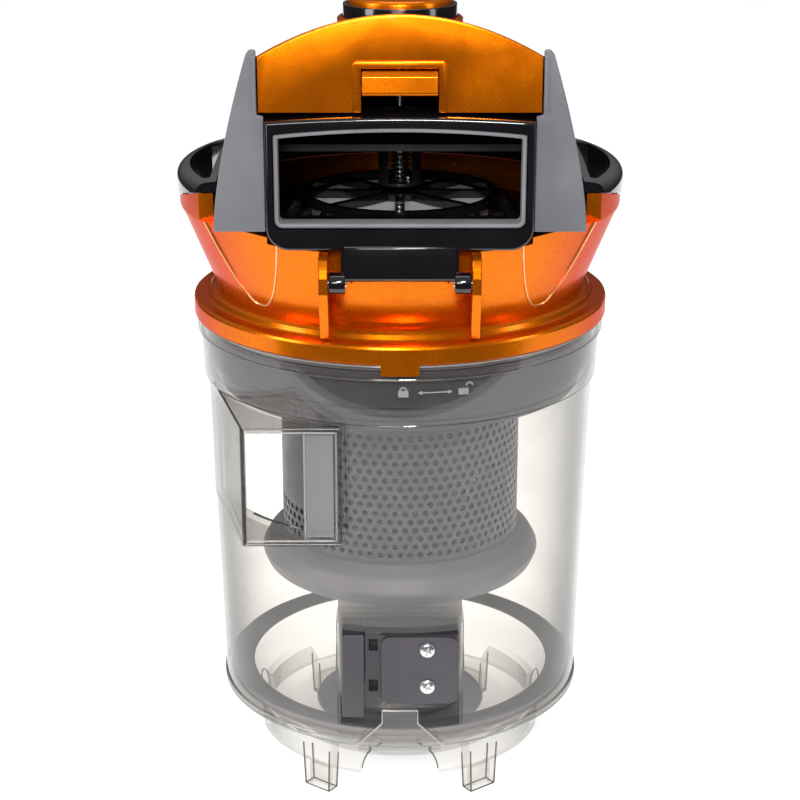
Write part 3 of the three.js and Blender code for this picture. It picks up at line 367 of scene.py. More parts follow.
class Finish:
    """A material with short ways to add and link nodes."""

    def __init__(self, name):
        self.material = bpy.data.materials.new(name)
        self.material.use_nodes = True
        self.tree = self.material.node_tree
        self.shader = self.tree.nodes["Principled BSDF"]
        self.output = self.tree.nodes["Material Output"]
        self.place = self.node("ShaderNodeTexCoord").outputs["Object"]

    def node(self, kind, **settings):
        made = self.tree.nodes.new(kind)
        for key, value in settings.items():
            setattr(made, key, value)
        return made

    def link(self, start, end):
        self.tree.links.new(start, end)

    def noise(self, scale, detail=3.0, roughness=0.5):
        made = self.node("ShaderNodeTexNoise")
        made.inputs["Scale"].default_value = scale
        made.inputs["Detail"].default_value = detail
        made.inputs["Roughness"].default_value = roughness
        self.link(self.place, made.inputs["Vector"])
        return made.outputs["Fac"]

    def spread(self, source, low, high):
        """Stretch a 0.3 to 0.7 noise over a range of values."""
        made = self.node("ShaderNodeMapRange")
        for key, value in (("From Min", 0.3), ("From Max", 0.7), ("To Min", low), ("To Max", high)):
            made.inputs[key].default_value = value
        self.link(source, made.inputs["Value"])
        return made.outputs["Result"]

    def blend(self, source, first, second):
        """Mix two colours by a 0.3 to 0.7 noise."""
        made = self.node("ShaderNodeValToRGB")
        made.color_ramp.elements[0].position = 0.3
        made.color_ramp.elements[0].color = first
        made.color_ramp.elements[1].position = 0.7
        made.color_ramp.elements[1].color = second
        self.link(source, made.inputs["Fac"])
        return made.outputs["Color"]

    def bump(self, height, strength, distance):
        made = self.node("ShaderNodeBump")
        made.inputs["Strength"].default_value = strength
        made.inputs["Distance"].default_value = distance
        self.link(height, made.inputs["Height"])
        return made.outputs["Normal"]

    def set(self, **values):
        for key, value in values.items():
            self.shader.inputs[key.replace("_", " ")].default_value = value


def plastic(name, slot_name, dark, light, gloss, grain, grain_depth, **extra):
    """Moulded plastic: slow change of tone, uneven gloss and a fine grain."""
    made = Finish(name)
    made.link(made.blend(made.noise(35, 4), colour(dark), colour(light)), made.shader.inputs["Base Color"])
    made.link(made.spread(made.noise(90, 5), gloss * 0.85, gloss * 1.2), made.shader.inputs["Roughness"])
    made.link(made.bump(made.noise(grain, 2), 0.25, grain_depth), made.shader.inputs["Normal"])
    made.set(**extra)
    return slot_name, made.material


print("finishes can be mixed")

# %% The plastics, rubber and fleece
gloss_black = plastic("gloss_black", "gloss_black", "0c0b0d", "161518", 0.12, 900, 0.00001, Coat_Weight=0.3,
                      Coat_Roughness=0.05)
ring_black = plastic("ring_black", "gloss_black", "0c0b0d", "161518", 0.1, 900, 0.00001, Coat_Weight=1.0,
                     Coat_Roughness=0.04)
satin_black = plastic("satin_black", "satin_black", "161618", "202023", 0.4, 2600, 0.00004)
soft_black = plastic("soft_black", "gloss_black", "39363b", "454147", 0.34, 1500, 0.00003)
satin_grey = plastic("satin_grey", "satin_grey", "6c6c72", "7a7a80", 0.4, 3000, 0.00004)
dark_grey = plastic("dark_grey", "dark_grey", "454348", "514f55", 0.4, 2400, 0.000008)
mid_grey = plastic("mid_grey", "mid_grey", "6c6b70", "7a797e", 0.45, 2400, 0.000008)
grey_rubber = plastic("grey_rubber", "grey_rubber", "7a797d", "8b8a8e", 0.6, 1800, 0.00001)


def mixed_fleece():
    made = Finish("pale_fleece")
    fibres = made.noise(900, 6, 0.7)
    made.link(made.blend(fibres, colour("a3a6a9"), colour("d3d5d7")), made.shader.inputs["Base Color"])
    made.link(made.bump(fibres, 0.7, 0.0004), made.shader.inputs["Normal"])
    made.set(Roughness=0.95, Sheen_Weight=0.3)
    return "pale_fleece", made.material


def turned_steel():
    made = Finish("steel")
    marks = made.noise(1400, 3)
    made.link(made.blend(made.noise(300, 3), colour("b9bbbd"), colour("e2e3e4")),
              made.shader.inputs["Base Color"])
    made.link(made.spread(marks, 0.18, 0.34), made.shader.inputs["Roughness"])
    made.link(made.bump(marks, 0.15, 0.00003), made.shader.inputs["Normal"])
    made.set(Metallic=1.0)
    return "steel", made.material


pale_fleece = mixed_fleece()
steel = turned_steel()
print("plain finishes:", len(bpy.data.materials))

# %% The metallic orange paint and the clear smoky plastic
def mixed_candy():
    made = Finish("candy_orange")
    flakes = made.node("ShaderNodeTexVoronoi")
    flakes.inputs["Scale"].default_value = 5200
    made.link(made.place, flakes.inputs["Vector"])
    grey = made.node("ShaderNodeRGBToBW")
    made.link(flakes.outputs["Color"], grey.inputs["Color"])
    tone = made.blend(grey.outputs["Val"], colour("cc5f03"), colour("e07a0a"))
    made.link(tone, made.shader.inputs["Base Color"])
    made.link(made.spread(made.noise(60, 3), 0.22, 0.3), made.shader.inputs["Roughness"])
    made.link(made.bump(grey.outputs["Val"], 0.04, 0.00001), made.shader.inputs["Normal"])
    made.set(Metallic=0.75, Specular_Tint=colour("c85804"), Coat_Weight=0.12, Coat_Roughness=0.05)
    return "candy_orange", made.material


def mixed_smoke(name, clear_tint, edge_tint, body_tone, least_body=0.015, most_body=0.3):
    """Clear tinted plastic: see-through face on, smoky edge on, with a mirror of the room on top."""
    made = Finish(name)
    rim = made.node("ShaderNodeLayerWeight")
    rim.inputs["Blend"].default_value = 0.5

    def rises(power, low, high):
        """A share that rises from face on to edge on."""
        curve = made.node("ShaderNodeMath", operation="POWER")
        curve.inputs[1].default_value = power
        made.link(rim.outputs["Facing"], curve.inputs[0])
        share = made.node("ShaderNodeMapRange")
        share.inputs["To Min"].default_value = low
        share.inputs["To Max"].default_value = high
        made.link(curve.outputs[0], share.inputs["Value"])
        return share.outputs["Result"]

    def mixed(share, first, second):
        both = made.node("ShaderNodeMixShader")
        made.link(share, both.inputs["Fac"])
        made.link(first, both.inputs[1])
        made.link(second, both.inputs[2])
        return both.outputs[0]

    tint = made.node("ShaderNodeValToRGB")
    tint.color_ramp.elements[0].color = colour(clear_tint)
    tint.color_ramp.elements[1].color = colour(edge_tint)
    made.link(rises(3.0, 0.0, 1.0), tint.inputs["Fac"])
    through = made.node("ShaderNodeBsdfTransparent")
    made.link(tint.outputs["Color"], through.inputs["Color"])
    waves = made.bump(made.noise(45, 2), 0.1, 0.0003)
    made.set(Base_Color=colour(body_tone))
    made.link(waves, made.shader.inputs["Normal"])
    made.set(Roughness=0.12)
    mirror = made.node("ShaderNodeBsdfAnisotropic")
    mirror.inputs["Roughness"].default_value = 0.06
    mirror.inputs["Color"].default_value = (1, 1, 1, 1)
    made.link(waves, mirror.inputs["Normal"])
    wall = mixed(rises(5.0, least_body, most_body), through.outputs[0], made.shader.outputs[0])
    made.link(mixed(rises(5.0, 0.035, 0.7), wall, mirror.outputs[0]), made.output.inputs["Surface"])
    return "clear_smoke", made.material


candy_orange = mixed_candy()
# A pale orange for the beads that paint the highlight along the facets' edges.
painted_highlight_orange = plastic("painted_highlight_orange", "candy_orange", "f0a868", "ffc48c", 0.2, 1800, 0.00001, Metallic=0.6)
clear_smoke = mixed_smoke("clear_smoke", "fbfaf8", "555351", "8f8d8a")
# A dark see-through finish for thin beads that paint the shade seen in the edges of clear plastic.
painted_shade_edge = mixed_smoke("painted_shade_edge", "a9a7a4", "3c3b3a", "6b6967", 0.25, 0.6)
# A pale see-through finish for thin beads that paint the highlights gathered in the edges of clear plastic.
painted_highlight_edge = mixed_smoke("painted_highlight_edge", "e4e3e2", "b9b8b6", "cfcecc", 0.4, 0.6)
frosted_panel = mixed_smoke("frosted_panel", "c8c6c6", "8a8888", "a9a7ab", 0.6, 0.8)
print("all finishes:", len(bpy.data.materials))

# %% [markdown]
# ## The clear bin
#
# The bin is one thin clear moulding: a tapered wall with a wide band and a rim at the top, an inlet port at
# the front left, a pocket for the latch at the front, and two ears for the door's hinge at the back. The
# wall is turned, and the rest is pressed and joined to it, because that is how its mould is split too.

# %% Sizes of the bin, read from the frame
bin_low, bin_high = box_of("dust_bin")
latch_high = box_of("latch_housing")[1]
slider_low = box_of("release_slider")[0]
BIN_FOOT, BIN_TOP = bin_low.z, bin_high.z
RIM = bin_high.x
WALL = 2.0
BAND_TOP = BIN_TOP - 5.8
BAND_FOOT = BAND_TOP - 21
FOOT_RADIUS = 74.4


def wall_radius(z):
    return FOOT_RADIUS + 0.03 * (z - BIN_FOOT)


BAND = wall_radius(BAND_FOOT) + 1.6
print("bin from", round(BIN_FOOT, 1), "to", round(BIN_TOP, 1), "band radius", round(BAND, 2))

# %% The bin's wall, port and pocket
PORT_FACE = -78.0
PORT_LEFT, PORT_RIGHT, PORT_EDGE = -60.0, -22.0, -36.0
PORT_FOOT, PORT_TOP, PORT_WALL = 122.8, 170.8, 2.3
POCKET = slider_low.x - 0.6
POCKET_BACK = latch_high.y + 0.3
POCKET_FOOT, POCKET_TOP = 43.4, 85.4


def bin_outside():
    return turned([(0, BIN_FOOT), (FOOT_RADIUS, BIN_FOOT), (wall_radius(BAND_FOOT), BAND_FOOT),
                   (BAND - 0.5, BAND_FOOT + 2.2), (BAND, BAND_FOOT + 3.4), (BAND + 0.6, BAND_TOP),
                   (RIM - 0.5, BAND_TOP),
                   (RIM, BAND_TOP + 0.5), (RIM, BIN_TOP - 0.5), (RIM - 0.5, BIN_TOP), (0, BIN_TOP)])


def bin_inside():
    return turned([(0, BIN_FOOT - 1), (FOOT_RADIUS - WALL, BIN_FOOT - 1),
                   (wall_radius(BAND_FOOT) - WALL, BAND_FOOT),
                   (BAND - WALL, BAND_FOOT + 3), (BAND - WALL, BIN_TOP + 1), (0, BIN_TOP + 1)])


def port_block():
    face = PORT_FACE
    plan = [(PORT_LEFT, face + 0.6), (PORT_LEFT + 0.6, face), (PORT_RIGHT - 0.6, face),
            (PORT_RIGHT, face + 0.6), (PORT_RIGHT, -60), (-60, -20), (-75.6, -20)]
    return pressed(plan, "Z", PORT_FOOT, PORT_TOP)


def port_passage():
    """The air runs back along the left wall, so that it enters the bin at a tangent."""
    front = PORT_FACE - 1
    plan = [(PORT_LEFT + PORT_WALL, front), (PORT_EDGE, front), (PORT_EDGE, -58), (-50, -20), (-73.3, -20)]
    return pressed(plan, "Z", PORT_FOOT + PORT_WALL, PORT_TOP - PORT_WALL)


def port_recess():
    low, high = PORT_FOOT + PORT_WALL, PORT_TOP - PORT_WALL
    return worked(block(PORT_EDGE - 1, PORT_RIGHT - PORT_WALL, PORT_FACE - 1, -60, low, high),
                  (CUT, bin_outside()))


def latch_pocket():
    wide = -POCKET + 1.6
    return worked(block(-wide, wide, -80, POCKET_BACK + 1.6, POCKET_FOOT - 1.6, POCKET_TOP + 1.6),
                  (KEEP, bin_outside()))


DOOR_Y, DOOR_Z = 80.5, 40.0
KNUCKLE = 3.6
EAR_FROM = 11.8


def door_ear(x):
    arm = [(73.2, 54), (73.2, DOOR_Z - 0.8), (76.4, DOOR_Z - 0.8)]
    return pressed(arm + arc(DOOR_Y, DOOR_Z, KNUCKLE, -70, 70, 14), "X", x, x + 3.5)


def clear_bin():
    notch = worked(block(-8, 31, -90, -70, BAND_TOP, BIN_TOP + 1),
                   (CUT, turned([(0, BAND_TOP - 1), (BAND + 0.5, BAND_TOP - 1), (BAND + 0.5, BIN_TOP + 1),
                                 (0, BIN_TOP + 1)])))
    return worked(bin_outside(), (JOIN, port_block()), (CUT, bin_inside()), (JOIN, latch_pocket()),
                  (JOIN, door_ear(EAR_FROM)), (JOIN, door_ear(-EAR_FROM - 3.5)), (CUT, port_passage()),
                  (CUT, port_recess()),
                  (CUT, block(POCKET, -POCKET, -90, POCKET_BACK, POCKET_FOOT, POCKET_TOP)),
                  (CUT, notch), (CUT, bar(1.8, "X", -30, 30, DOOR_Y, DOOR_Z)))


finish_piece("clear_bin", clear_bin(), "container", clear_smoke, ["dust_bin"], round_shading=True)

# %% [markdown]
# Light gathers in the edges of a clear moulding: some of them look dark and some look bright, however the
# wall between them is tinted. Very thin beads follow these edges, dark ones as painted shade and pale ones
# as painted highlights, since a thin see-through wall can't bend the light that way itself.

# %% Painted shade and painted highlight beads along the port and the bin's foot
LEFT, RIGHT = PORT_LEFT + 0.7, PORT_RIGHT - 0.6
FACE, LOW, HIGH = PORT_FACE + 0.5, PORT_FOOT + 0.7, PORT_TOP - 0.7
FLOOR_Z = PORT_FOOT + PORT_WALL
sill = [(x, y, FLOOR_Z) for x, y in arc(0, 0, wall_radius(FLOOR_Z) - 1, 221, 240, 16)]
# Dark beads: painted shade along the port's frame, the sill, the foot and the band.
shade_beads = put_together(
    bead([(LEFT, FACE, LOW), (LEFT, FACE, HIGH)], 0.85),
    bead([(LEFT, FACE, HIGH), (-74.6, -21, HIGH)], 0.5),
    bead([(LEFT + 1, FACE, HIGH), (RIGHT, FACE, HIGH)], 0.45),
    bead([(LEFT + 1, FACE, LOW), (RIGHT, FACE, LOW)], 0.5),
    bead([(RIGHT + 0.2, FACE, LOW), (RIGHT + 0.2, FACE, HIGH)], 0.3),
    bead(sill, 0.5),
    bead(level_circle(FOOT_RADIUS - 0.1, BIN_FOOT + 0.5), 0.4, True),
    bead(level_circle(RIM - 0.4, BAND_TOP + 0.4), 0.3, True),
    bead(level_circle(BAND - 0.6, BAND_FOOT + 2.4), 0.25, True),
)
finish_piece("bin_painted_shade_beads", shade_beads, "container", painted_shade_edge)
# Pale beads: painted highlights along the port's frame, the rim and the band.
highlight_beads = put_together(
    bead([(RIGHT - 1.4, FACE, LOW + 1.2), (RIGHT - 1.4, FACE, HIGH - 1.2)], 0.45),
    bead([(PORT_EDGE, PORT_FACE + 2, LOW + 1.6), (PORT_EDGE, PORT_FACE + 2, HIGH - 1.6)], 0.4),
    bead([(LEFT + 2, FACE, HIGH - 1.5), (RIGHT - 2, FACE, HIGH - 1.5)], 0.3),
    bead([(LEFT + 2, FACE, LOW + 1.4), (RIGHT - 2, FACE, LOW + 1.4)], 0.35),
    bead([(LEFT, FACE + 1, LOW), (-74.6, -21, LOW)], 0.3),
    bead(level_circle(RIM - 0.3, BIN_TOP - 0.5), 0.3, True),
    bead(level_circle(BAND + 0.2, BAND_TOP - 0.4), 0.3, True),
)
finish_piece("bin_painted_highlight_beads", highlight_beads, "container", painted_highlight_edge)
PANEL_FACE, PANEL_THICK, PANEL_EDGE = PORT_FACE + 3.2, 0.6, 2.6
panel = block(PORT_EDGE + 0.6, PORT_RIGHT - 3.2, PANEL_FACE, PANEL_FACE + PANEL_THICK, PORT_FOOT + PANEL_EDGE,
              PORT_TOP - PANEL_EDGE)
finish_piece("port_panel", panel, "container", frosted_panel)

# %% [markdown]
# Three small raised signs on the band show how the housing turns: a closed padlock, an arrow and an open
# padlock. They are pressed flat and then wrapped onto the band.

# %% Lock signs on the band
def padlock(x, z, opened):
    body = block(x - 1.9, x + 1.9, 0, 0.4, z - 1.6, z + 0.9)
    lift = 0.8 if opened else 0.0
    shift = 2.2 if opened else 0.0
    outer = arc(x + shift, z + 0.9 + lift, 1.5, 0, 180, 12)
    inner = arc(x + shift, z + 0.9 + lift, 0.9, 180, 0, 12)
    shackle = pressed(outer + inner, "Y", 0, 0.4)
    return [body, shackle]


def turn_arrow(x0, x1, z):
    line = block(x0 + 1.2, x1 - 1.2, 0, 0.4, z - 0.22, z + 0.22)
    left = pressed([(x0, z), (x0 + 1.8, z - 0.9), (x0 + 1.8, z + 0.9)], "Y", 0, 0.4)
    right = pressed([(x1, z), (x1 - 1.8, z + 0.9), (x1 - 1.8, z - 0.9)], "Y", 0, 0.4)
    return [line, left, right]


SIGN_Z, SIGN_PROUD = BIN_TOP - 10.9, 0.25
signs = put_together(*padlock(1.2, SIGN_Z, False), *turn_arrow(6.5, 19.5, SIGN_Z),
                     *padlock(23.6, SIGN_Z, True))
bmesh.ops.subdivide_edges(signs, edges=[e for e in signs.edges if e.calc_length() > 4], cuts=6)
for vert in signs.verts:
    out = BAND + SIGN_PROUD + vert.co.y
    vert.co.y = -math.sqrt(out ** 2 - vert.co.x ** 2)
# The signs take the pale bead finish, which paints the highlight that their raised clear plastic catches.
finish_piece("lock_signs", signs, "container", painted_highlight_edge)

# %% [markdown]
# ## The latch
#
# A black block sits in the pocket. Two cross-head screws hold a cover plate on it, and beside the plate
# runs the slider that frees the bottom door. The block, plate and slider are flat moulded parts, so their
# frame pieces are copied and their edges rounded. The screws are turned, and their heads get a cross-shaped
# recess.

# %% Block, plate and slider
finish_piece("latch_block", moulded("latch_housing", 0.5, 3), "container", soft_black, ["latch_housing"],
             weighted=True)
finish_piece("latch_plate", moulded("latch_cover", 0.5, 3), "container", soft_black, ["latch_cover"],
             weighted=True)
finish_piece("release_bar", moulded("release_slider", 0.6, 3), "slider", soft_black, ["release_slider"],
             weighted=True)


# %% Screws and the slider's spring
def pan_head_screw(node):
    low, high = box_of(node)
    x, z = (low.x + high.x) / 2, (low.z + high.z) / 2
    face, head = low.y, (high.x - low.x) / 2
    dome = turned([(0, 0), (head - 1, 0.12), (head - 0.3, 0.5), (head, 1.0), (head, 1.4), (1.35, 1.45),
                   (1.35, high.y - face), (0, high.y - face)], 40)
    arm = [(-0.34, -0.34), (-1.75, -0.28), (-1.75, 0.28), (-0.34, 0.34), (-0.28, 1.75), (0.28, 1.75),
           (0.34, 0.34), (1.75, 0.28), (1.75, -0.28), (0.34, -0.34), (0.28, -1.75), (-0.28, -1.75)]
    screw = worked(dome, (CUT, pressed(arm, "Z", -1, 0.95)))
    bmesh.ops.rotate(screw, cent=(0, 0, 0), matrix=Matrix.Rotation(-math.pi / 2, 3, "X"), verts=screw.verts)
    bmesh.ops.rotate(screw, cent=(0, 0, 0), matrix=Matrix.Rotation(math.radians(20), 3, "Y"),
                     verts=screw.verts)
    bmesh.ops.translate(screw, vec=(x, face, z), verts=screw.verts)
    return screw


def coil(node, wire_radius, turns, per_turn=28):
    """A coil spring in the box of its frame piece."""
    low, high = box_of(node)
    middle = (low + high) / 2
    radius = (high.x - low.x) / 2 - wire_radius
    rise = (high.z - low.z - 2 * wire_radius) / (turns * per_turn)
    bm = bmesh.new()
    stand = Matrix.Translation((radius, 0, 0)) @ Matrix.Rotation(math.pi / 2, 4, "X")
    bmesh.ops.create_circle(bm, cap_ends=False, radius=wire_radius, segments=10, matrix=stand)
    bmesh.ops.spin(bm, geom=bm.verts[:] + bm.edges[:], cent=(0, 0, 0), axis=(0, 0, 1), dvec=(0, 0, rise),
                   angle=TURN * turns, steps=turns * per_turn)
    bmesh.ops.holes_fill(bm, edges=bm.edges, sides=0)
    bmesh.ops.translate(bm, vec=(middle.x, middle.y, low.z + wire_radius), verts=bm.verts)
    return bm


for level in ("upper", "lower"):
    finish_piece(f"cross_head_screw_{level}", pan_head_screw(f"latch_screw_{level}"), "container", steel,
                 [f"latch_screw_{level}"], crease=30)
finish_piece("slider_coil", coil("release_spring", 0.4, 7), "container", steel, ["release_spring"])

# %% [markdown]
# ## The cyclone inside the bin
#
# The stepped collar, the bell, the stem and its rubber foot, the inner cone and the short outlet tube are
# all turned shapes, so each is spun from its own section.

# %% Turned pieces of the cyclone
finish_piece("stepped_collar", respun("separator_collar", 0.5), "container", dark_grey, ["separator_collar"],
             weighted=True)
finish_piece("bell", respun("bell_skirt", 1.6), "container", mid_grey, ["bell_skirt"], crease=50)
finish_piece("stem_tube", respun("stem", 0.3), "container", mid_grey, ["stem"])
finish_piece("stem_pad", respun("stem_foot", 0.3), "container", grey_rubber, ["stem_foot"])
finish_piece("air_cone", respun("inner_cone", 0.3), "container", satin_black, ["inner_cone"])
finish_piece("air_tube", respun("vortex_finder", 0.3), "container", satin_black, ["vortex_finder"])
finish_piece("rim_seal", respun("bin_seal", 0.3), "container", grey_rubber, ["bin_seal"])

# %% [markdown]
# The perforated cylinder has more than a thousand small round holes, set in rows with every second row
# shifted by half a step. Each hole is the middle of a six-sided cell. The cells are laid out flat, their
# middles are inset and pulled round, and the sheet is rolled up and thickened. The wall is left whole where
# the air comes in.

# %% The perforated cylinder
screen_low, screen_high = box_of("mesh_cylinder")
SCREEN = screen_high.x
HOLES_ROUND = 76
STEP = TURN * SCREEN / HOLES_ROUND
ROW = STEP * math.sqrt(3) / 2
HOLE = 1.27
HOLES_FROM = screen_low.z + 3.6
HOLES_TO = HOLES_FROM + 50
PATCH_FOOT = HOLES_FROM + 14


def left_whole(angle, z):
    """The solid patch that faces the inlet, and the edge rows."""
    in_patch = math.radians(120) < angle < math.radians(241) and z > PATCH_FOOT
    return in_patch or not HOLES_FROM - 1 < z < HOLES_TO + 1


def perforated_wall():
    bm = bmesh.new()
    rows = round((HOLES_TO - HOLES_FROM) / ROW)
    stand = Matrix.Rotation(math.pi / 2, 4, "X")
    for row in range(-1, rows + 2):
        for column in range(HOLES_ROUND):
            place = ((column + (row % 2) / 2) * STEP, 0, HOLES_FROM + row * ROW)
            bmesh.ops.create_circle(bm, cap_ends=True, radius=STEP / math.sqrt(3), segments=6,
                                    matrix=Matrix.Translation(place) @ stand)
    bmesh.ops.remove_doubles(bm, verts=bm.verts, dist=0.01)
    bmesh.ops.subdivide_edges(bm, edges=bm.edges[:], cuts=1)
    middles = {}
    for face in bm.faces:
        middle = face.calc_center_median()
        if not left_whole((middle.x / SCREEN) % TURN, middle.z):
            middles[face] = middle
    pierced = list(middles)
    bmesh.ops.inset_individual(bm, faces=pierced, thickness=STEP / 2 - HOLE)
    for face, middle in middles.items():
        for vert in face.verts:
            vert.co = middle + (vert.co - middle).normalized() * HOLE
    bmesh.ops.delete(bm, geom=pierced, context="FACES_ONLY")
    return bm


def roll_up(bm, foot):
    for vert in bm.verts:
        angle = vert.co.x / SCREEN
        vert.co = Vector((SCREEN * math.cos(angle), SCREEN * math.sin(angle), max(vert.co.z, foot)))
    return close_up(bm, 0.02)


def plain_band(bm, level):
    """Pull the upper edge up to a level line."""
    top = max(v.co.z for v in bm.verts)
    rim = [e for e in bm.edges if e.is_boundary and all(top - v.co.z < ROW / 2 for v in e.verts)]
    grown = bmesh.ops.extrude_edge_only(bm, edges=rim)["geom"]
    for vert in (g for g in grown if isinstance(g, bmesh.types.BMVert)):
        vert.co.z = level


screen = roll_up(perforated_wall(), screen_low.z)
plain_band(screen, screen_high.z)
bmesh.ops.recalc_face_normals(screen, faces=screen.faces)
bmesh.ops.solidify(screen, geom=screen.faces[:], thickness=1.6)
finish_piece("perforated_cylinder", screen, "container", dark_grey, ["mesh_cylinder"], crease=40)

# %% [markdown]
# ## The bottom door
#
# The door is a clear bowl with a rim. Under it stand four splayed legs and a skirt cut into arches, and at
# the front a tab with a narrow tongue snaps over the bin. The bowl is turned with a solid underside, the
# legs and the skirt are joined to it, and the dust space is cut out again, so that nothing pokes into it.

# %% Sizes of the door
door_low = box_of("bottom_door")[0]
seal_low = box_of("door_seal")[0]
RIM_TOP = seal_low.z - 0.3
RIM_FOOT = RIM_TOP - 2.9
DOOR_RIM = 75.2
BOWL_FLOOR, BOWL_FLAT, DOOR_WALL = 18.5, 47.5, 2.4
CONE_TOP = DOOR_RIM - 1.6
LEG_REACH = BOWL_FLAT + 7
LEG_THIN = 5.6 / 12.6
print("door rim at", round(RIM_TOP, 2), "mm, lowest point", round(door_low.z, 2))

# %% Bowl, legs, skirt and tab
def bowl_space():
    return turned([(0, BOWL_FLOOR), (BOWL_FLAT - 2, BOWL_FLOOR), (BOWL_FLAT, BOWL_FLOOR + 0.8),
                   (CONE_TOP - DOOR_WALL, RIM_TOP), (CONE_TOP - DOOR_WALL, RIM_TOP + 10), (0, RIM_TOP + 10)])


def bowl_outside():
    foot = BOWL_FLOOR - DOOR_WALL
    return turned([(0, foot), (BOWL_FLAT - 1, foot), (BOWL_FLAT + 0.6, foot + 0.5),
                   (CONE_TOP, RIM_FOOT - 0.6),
                   (DOOR_RIM - 0.4, RIM_FOOT - 0.2), (DOOR_RIM, RIM_FOOT + 0.3), (DOOR_RIM, RIM_TOP - 0.4),
                   (DOOR_RIM - 0.4, RIM_TOP), (0, RIM_TOP)])


def square_cone(foot, head, low, high):
    """A four-sided cone, thin outwards and wide across, at a leg's place."""
    bm = bmesh.new()
    bmesh.ops.create_cone(bm, cap_ends=True, segments=4, radius1=foot * math.sqrt(2),
                          radius2=head * math.sqrt(2), depth=high - low)
    bmesh.ops.rotate(bm, cent=(0, 0, 0), matrix=Matrix.Rotation(math.pi / 4, 3, "Z"), verts=bm.verts)
    bmesh.ops.translate(bm, vec=(0, 0, (low + high) / 2), verts=bm.verts)
    return bm


def put_at_leg(bm, angle):
    bmesh.ops.translate(bm, vec=(LEG_REACH, 0, 0), verts=bm.verts)
    bmesh.ops.rotate(bm, cent=(0, 0, 0), matrix=Matrix.Rotation(math.radians(angle), 3, "Z"), verts=bm.verts)
    return bm


def door_leg(angle):
    """A leg that is wide across and thin outwards, and gets wider towards the bowl."""
    bm = square_cone(6.3, 7.8, 0, 30)
    bmesh.ops.scale(bm, vec=(LEG_THIN, 1, 1), verts=bm.verts)
    bmesh.ops.bevel(bm, geom=bm.edges[:], offset=0.7, segments=3, profile=0.5, affect="EDGES", material=-1)
    return put_at_leg(bm, angle)


def leg_hollow(angle):
    """The legs are moulded hollow and open below, which shows as a dark outline through the clear plastic."""
    bm = square_cone(5.0, 5.2, -1, 10)
    bmesh.ops.scale(bm, vec=(LEG_THIN * 0.5, 1, 1), verts=bm.verts)
    return put_at_leg(bm, angle)


def door_skirt():
    wall = turned([(57.6, 14), (60, 14), (60, 28), (57.6, 28)])
    arch = [(15.5, 13)] + arc(0, 15, 15.5, 0, 180, 24) + [(-15.5, 13)]
    return worked(wall, (CUT, pressed(arch, "Y", -90, 90)), (CUT, pressed(arch, "X", -90, 90)))


def front_tab():
    plate = [(-16.5, RIM_FOOT), (16.5, RIM_FOOT), (16.5, RIM_TOP), (7.2, 47), (7.2, 52.4), (6.6, 53),
             (-6.6, 53), (-7.2, 52.4), (-7.2, 47), (-16.5, RIM_TOP)]
    return worked(pressed(plate, "Y", -77.4, -75.4),
                  (JOIN, block(-16.5, 16.5, -75.5, -71.5, RIM_FOOT, RIM_TOP)))


LEGS = [-53, -127, 53, 127]


def clear_door():
    steps = [(JOIN, door_skirt())]
    steps += [(JOIN, door_leg(angle)) for angle in LEGS]
    steps += [(CUT, bowl_space())]
    steps += [(CUT, leg_hollow(angle)) for angle in LEGS]
    steps += [(JOIN, bar(KNUCKLE, "X", -11.5, 11.5, DOOR_Y, DOOR_Z)),
              (JOIN, block(-11.5, 11.5, 72.4, DOOR_Y - 1, RIM_FOOT, RIM_TOP)), (JOIN, front_tab()),
              (CUT, bar(1.8, "X", -30, 30, DOOR_Y, DOOR_Z))]
    steps += [(CUT, block(x - 0.6, x + 0.6, -80, -71.8, RIM_FOOT - 1, RIM_TOP + 1)) for x in (-17.4, 17.4)]
    return worked(bowl_outside(), *steps)


finish_piece("clear_door", clear_door(), "door", clear_smoke, ["bottom_door"], round_shading=True)
finish_piece("door_ring", respun("door_seal", 0.5), "door", grey_rubber, ["door_seal"])


def leg_shade_lines(angle):
    """Painted shade lines on the four corners of a leg and round its foot's outline."""
    turn = Matrix.Rotation(math.radians(angle), 3, "Z")
    spots = [(sx, sy) for sx, sy in ((-1, -1), (1, -1), (1, 1), (-1, 1))]
    foot = [turn @ Vector((LEG_REACH + 2.6 * sx, 6.1 * sy, 0.6)) for sx, sy in spots]
    high = [turn @ Vector((LEG_REACH + 2.9 * sx, 6.9 * sy, 18 + 1.5 * sx)) for sx, sy in spots]
    lines = [bead([low, top], 0.35) for low, top in zip(foot, high)]
    return lines + [bead([foot[i - 1], foot[i]], 0.3) for i in range(4)]


def arch_shade_line(turns):
    """A painted shade line on the edge of one arch of the skirt."""
    turn = Matrix.Rotation(math.pi / 2 * turns, 3, "Z")
    arch = arc(0, 15, 15.5, 5, 175, 24)
    return bead([turn @ Vector((x, -math.sqrt(59.8 ** 2 - x ** 2), z)) for x, z in arch], 0.3)


# Dark beads on the legs and the arches: painted shade in the clear door's edges.
door_shade_beads = [line for angle in LEGS for line in leg_shade_lines(angle)] + [arch_shade_line(i) for i in range(4)]
finish_piece("door_painted_shade_beads", put_together(*door_shade_beads), "door", painted_shade_edge)
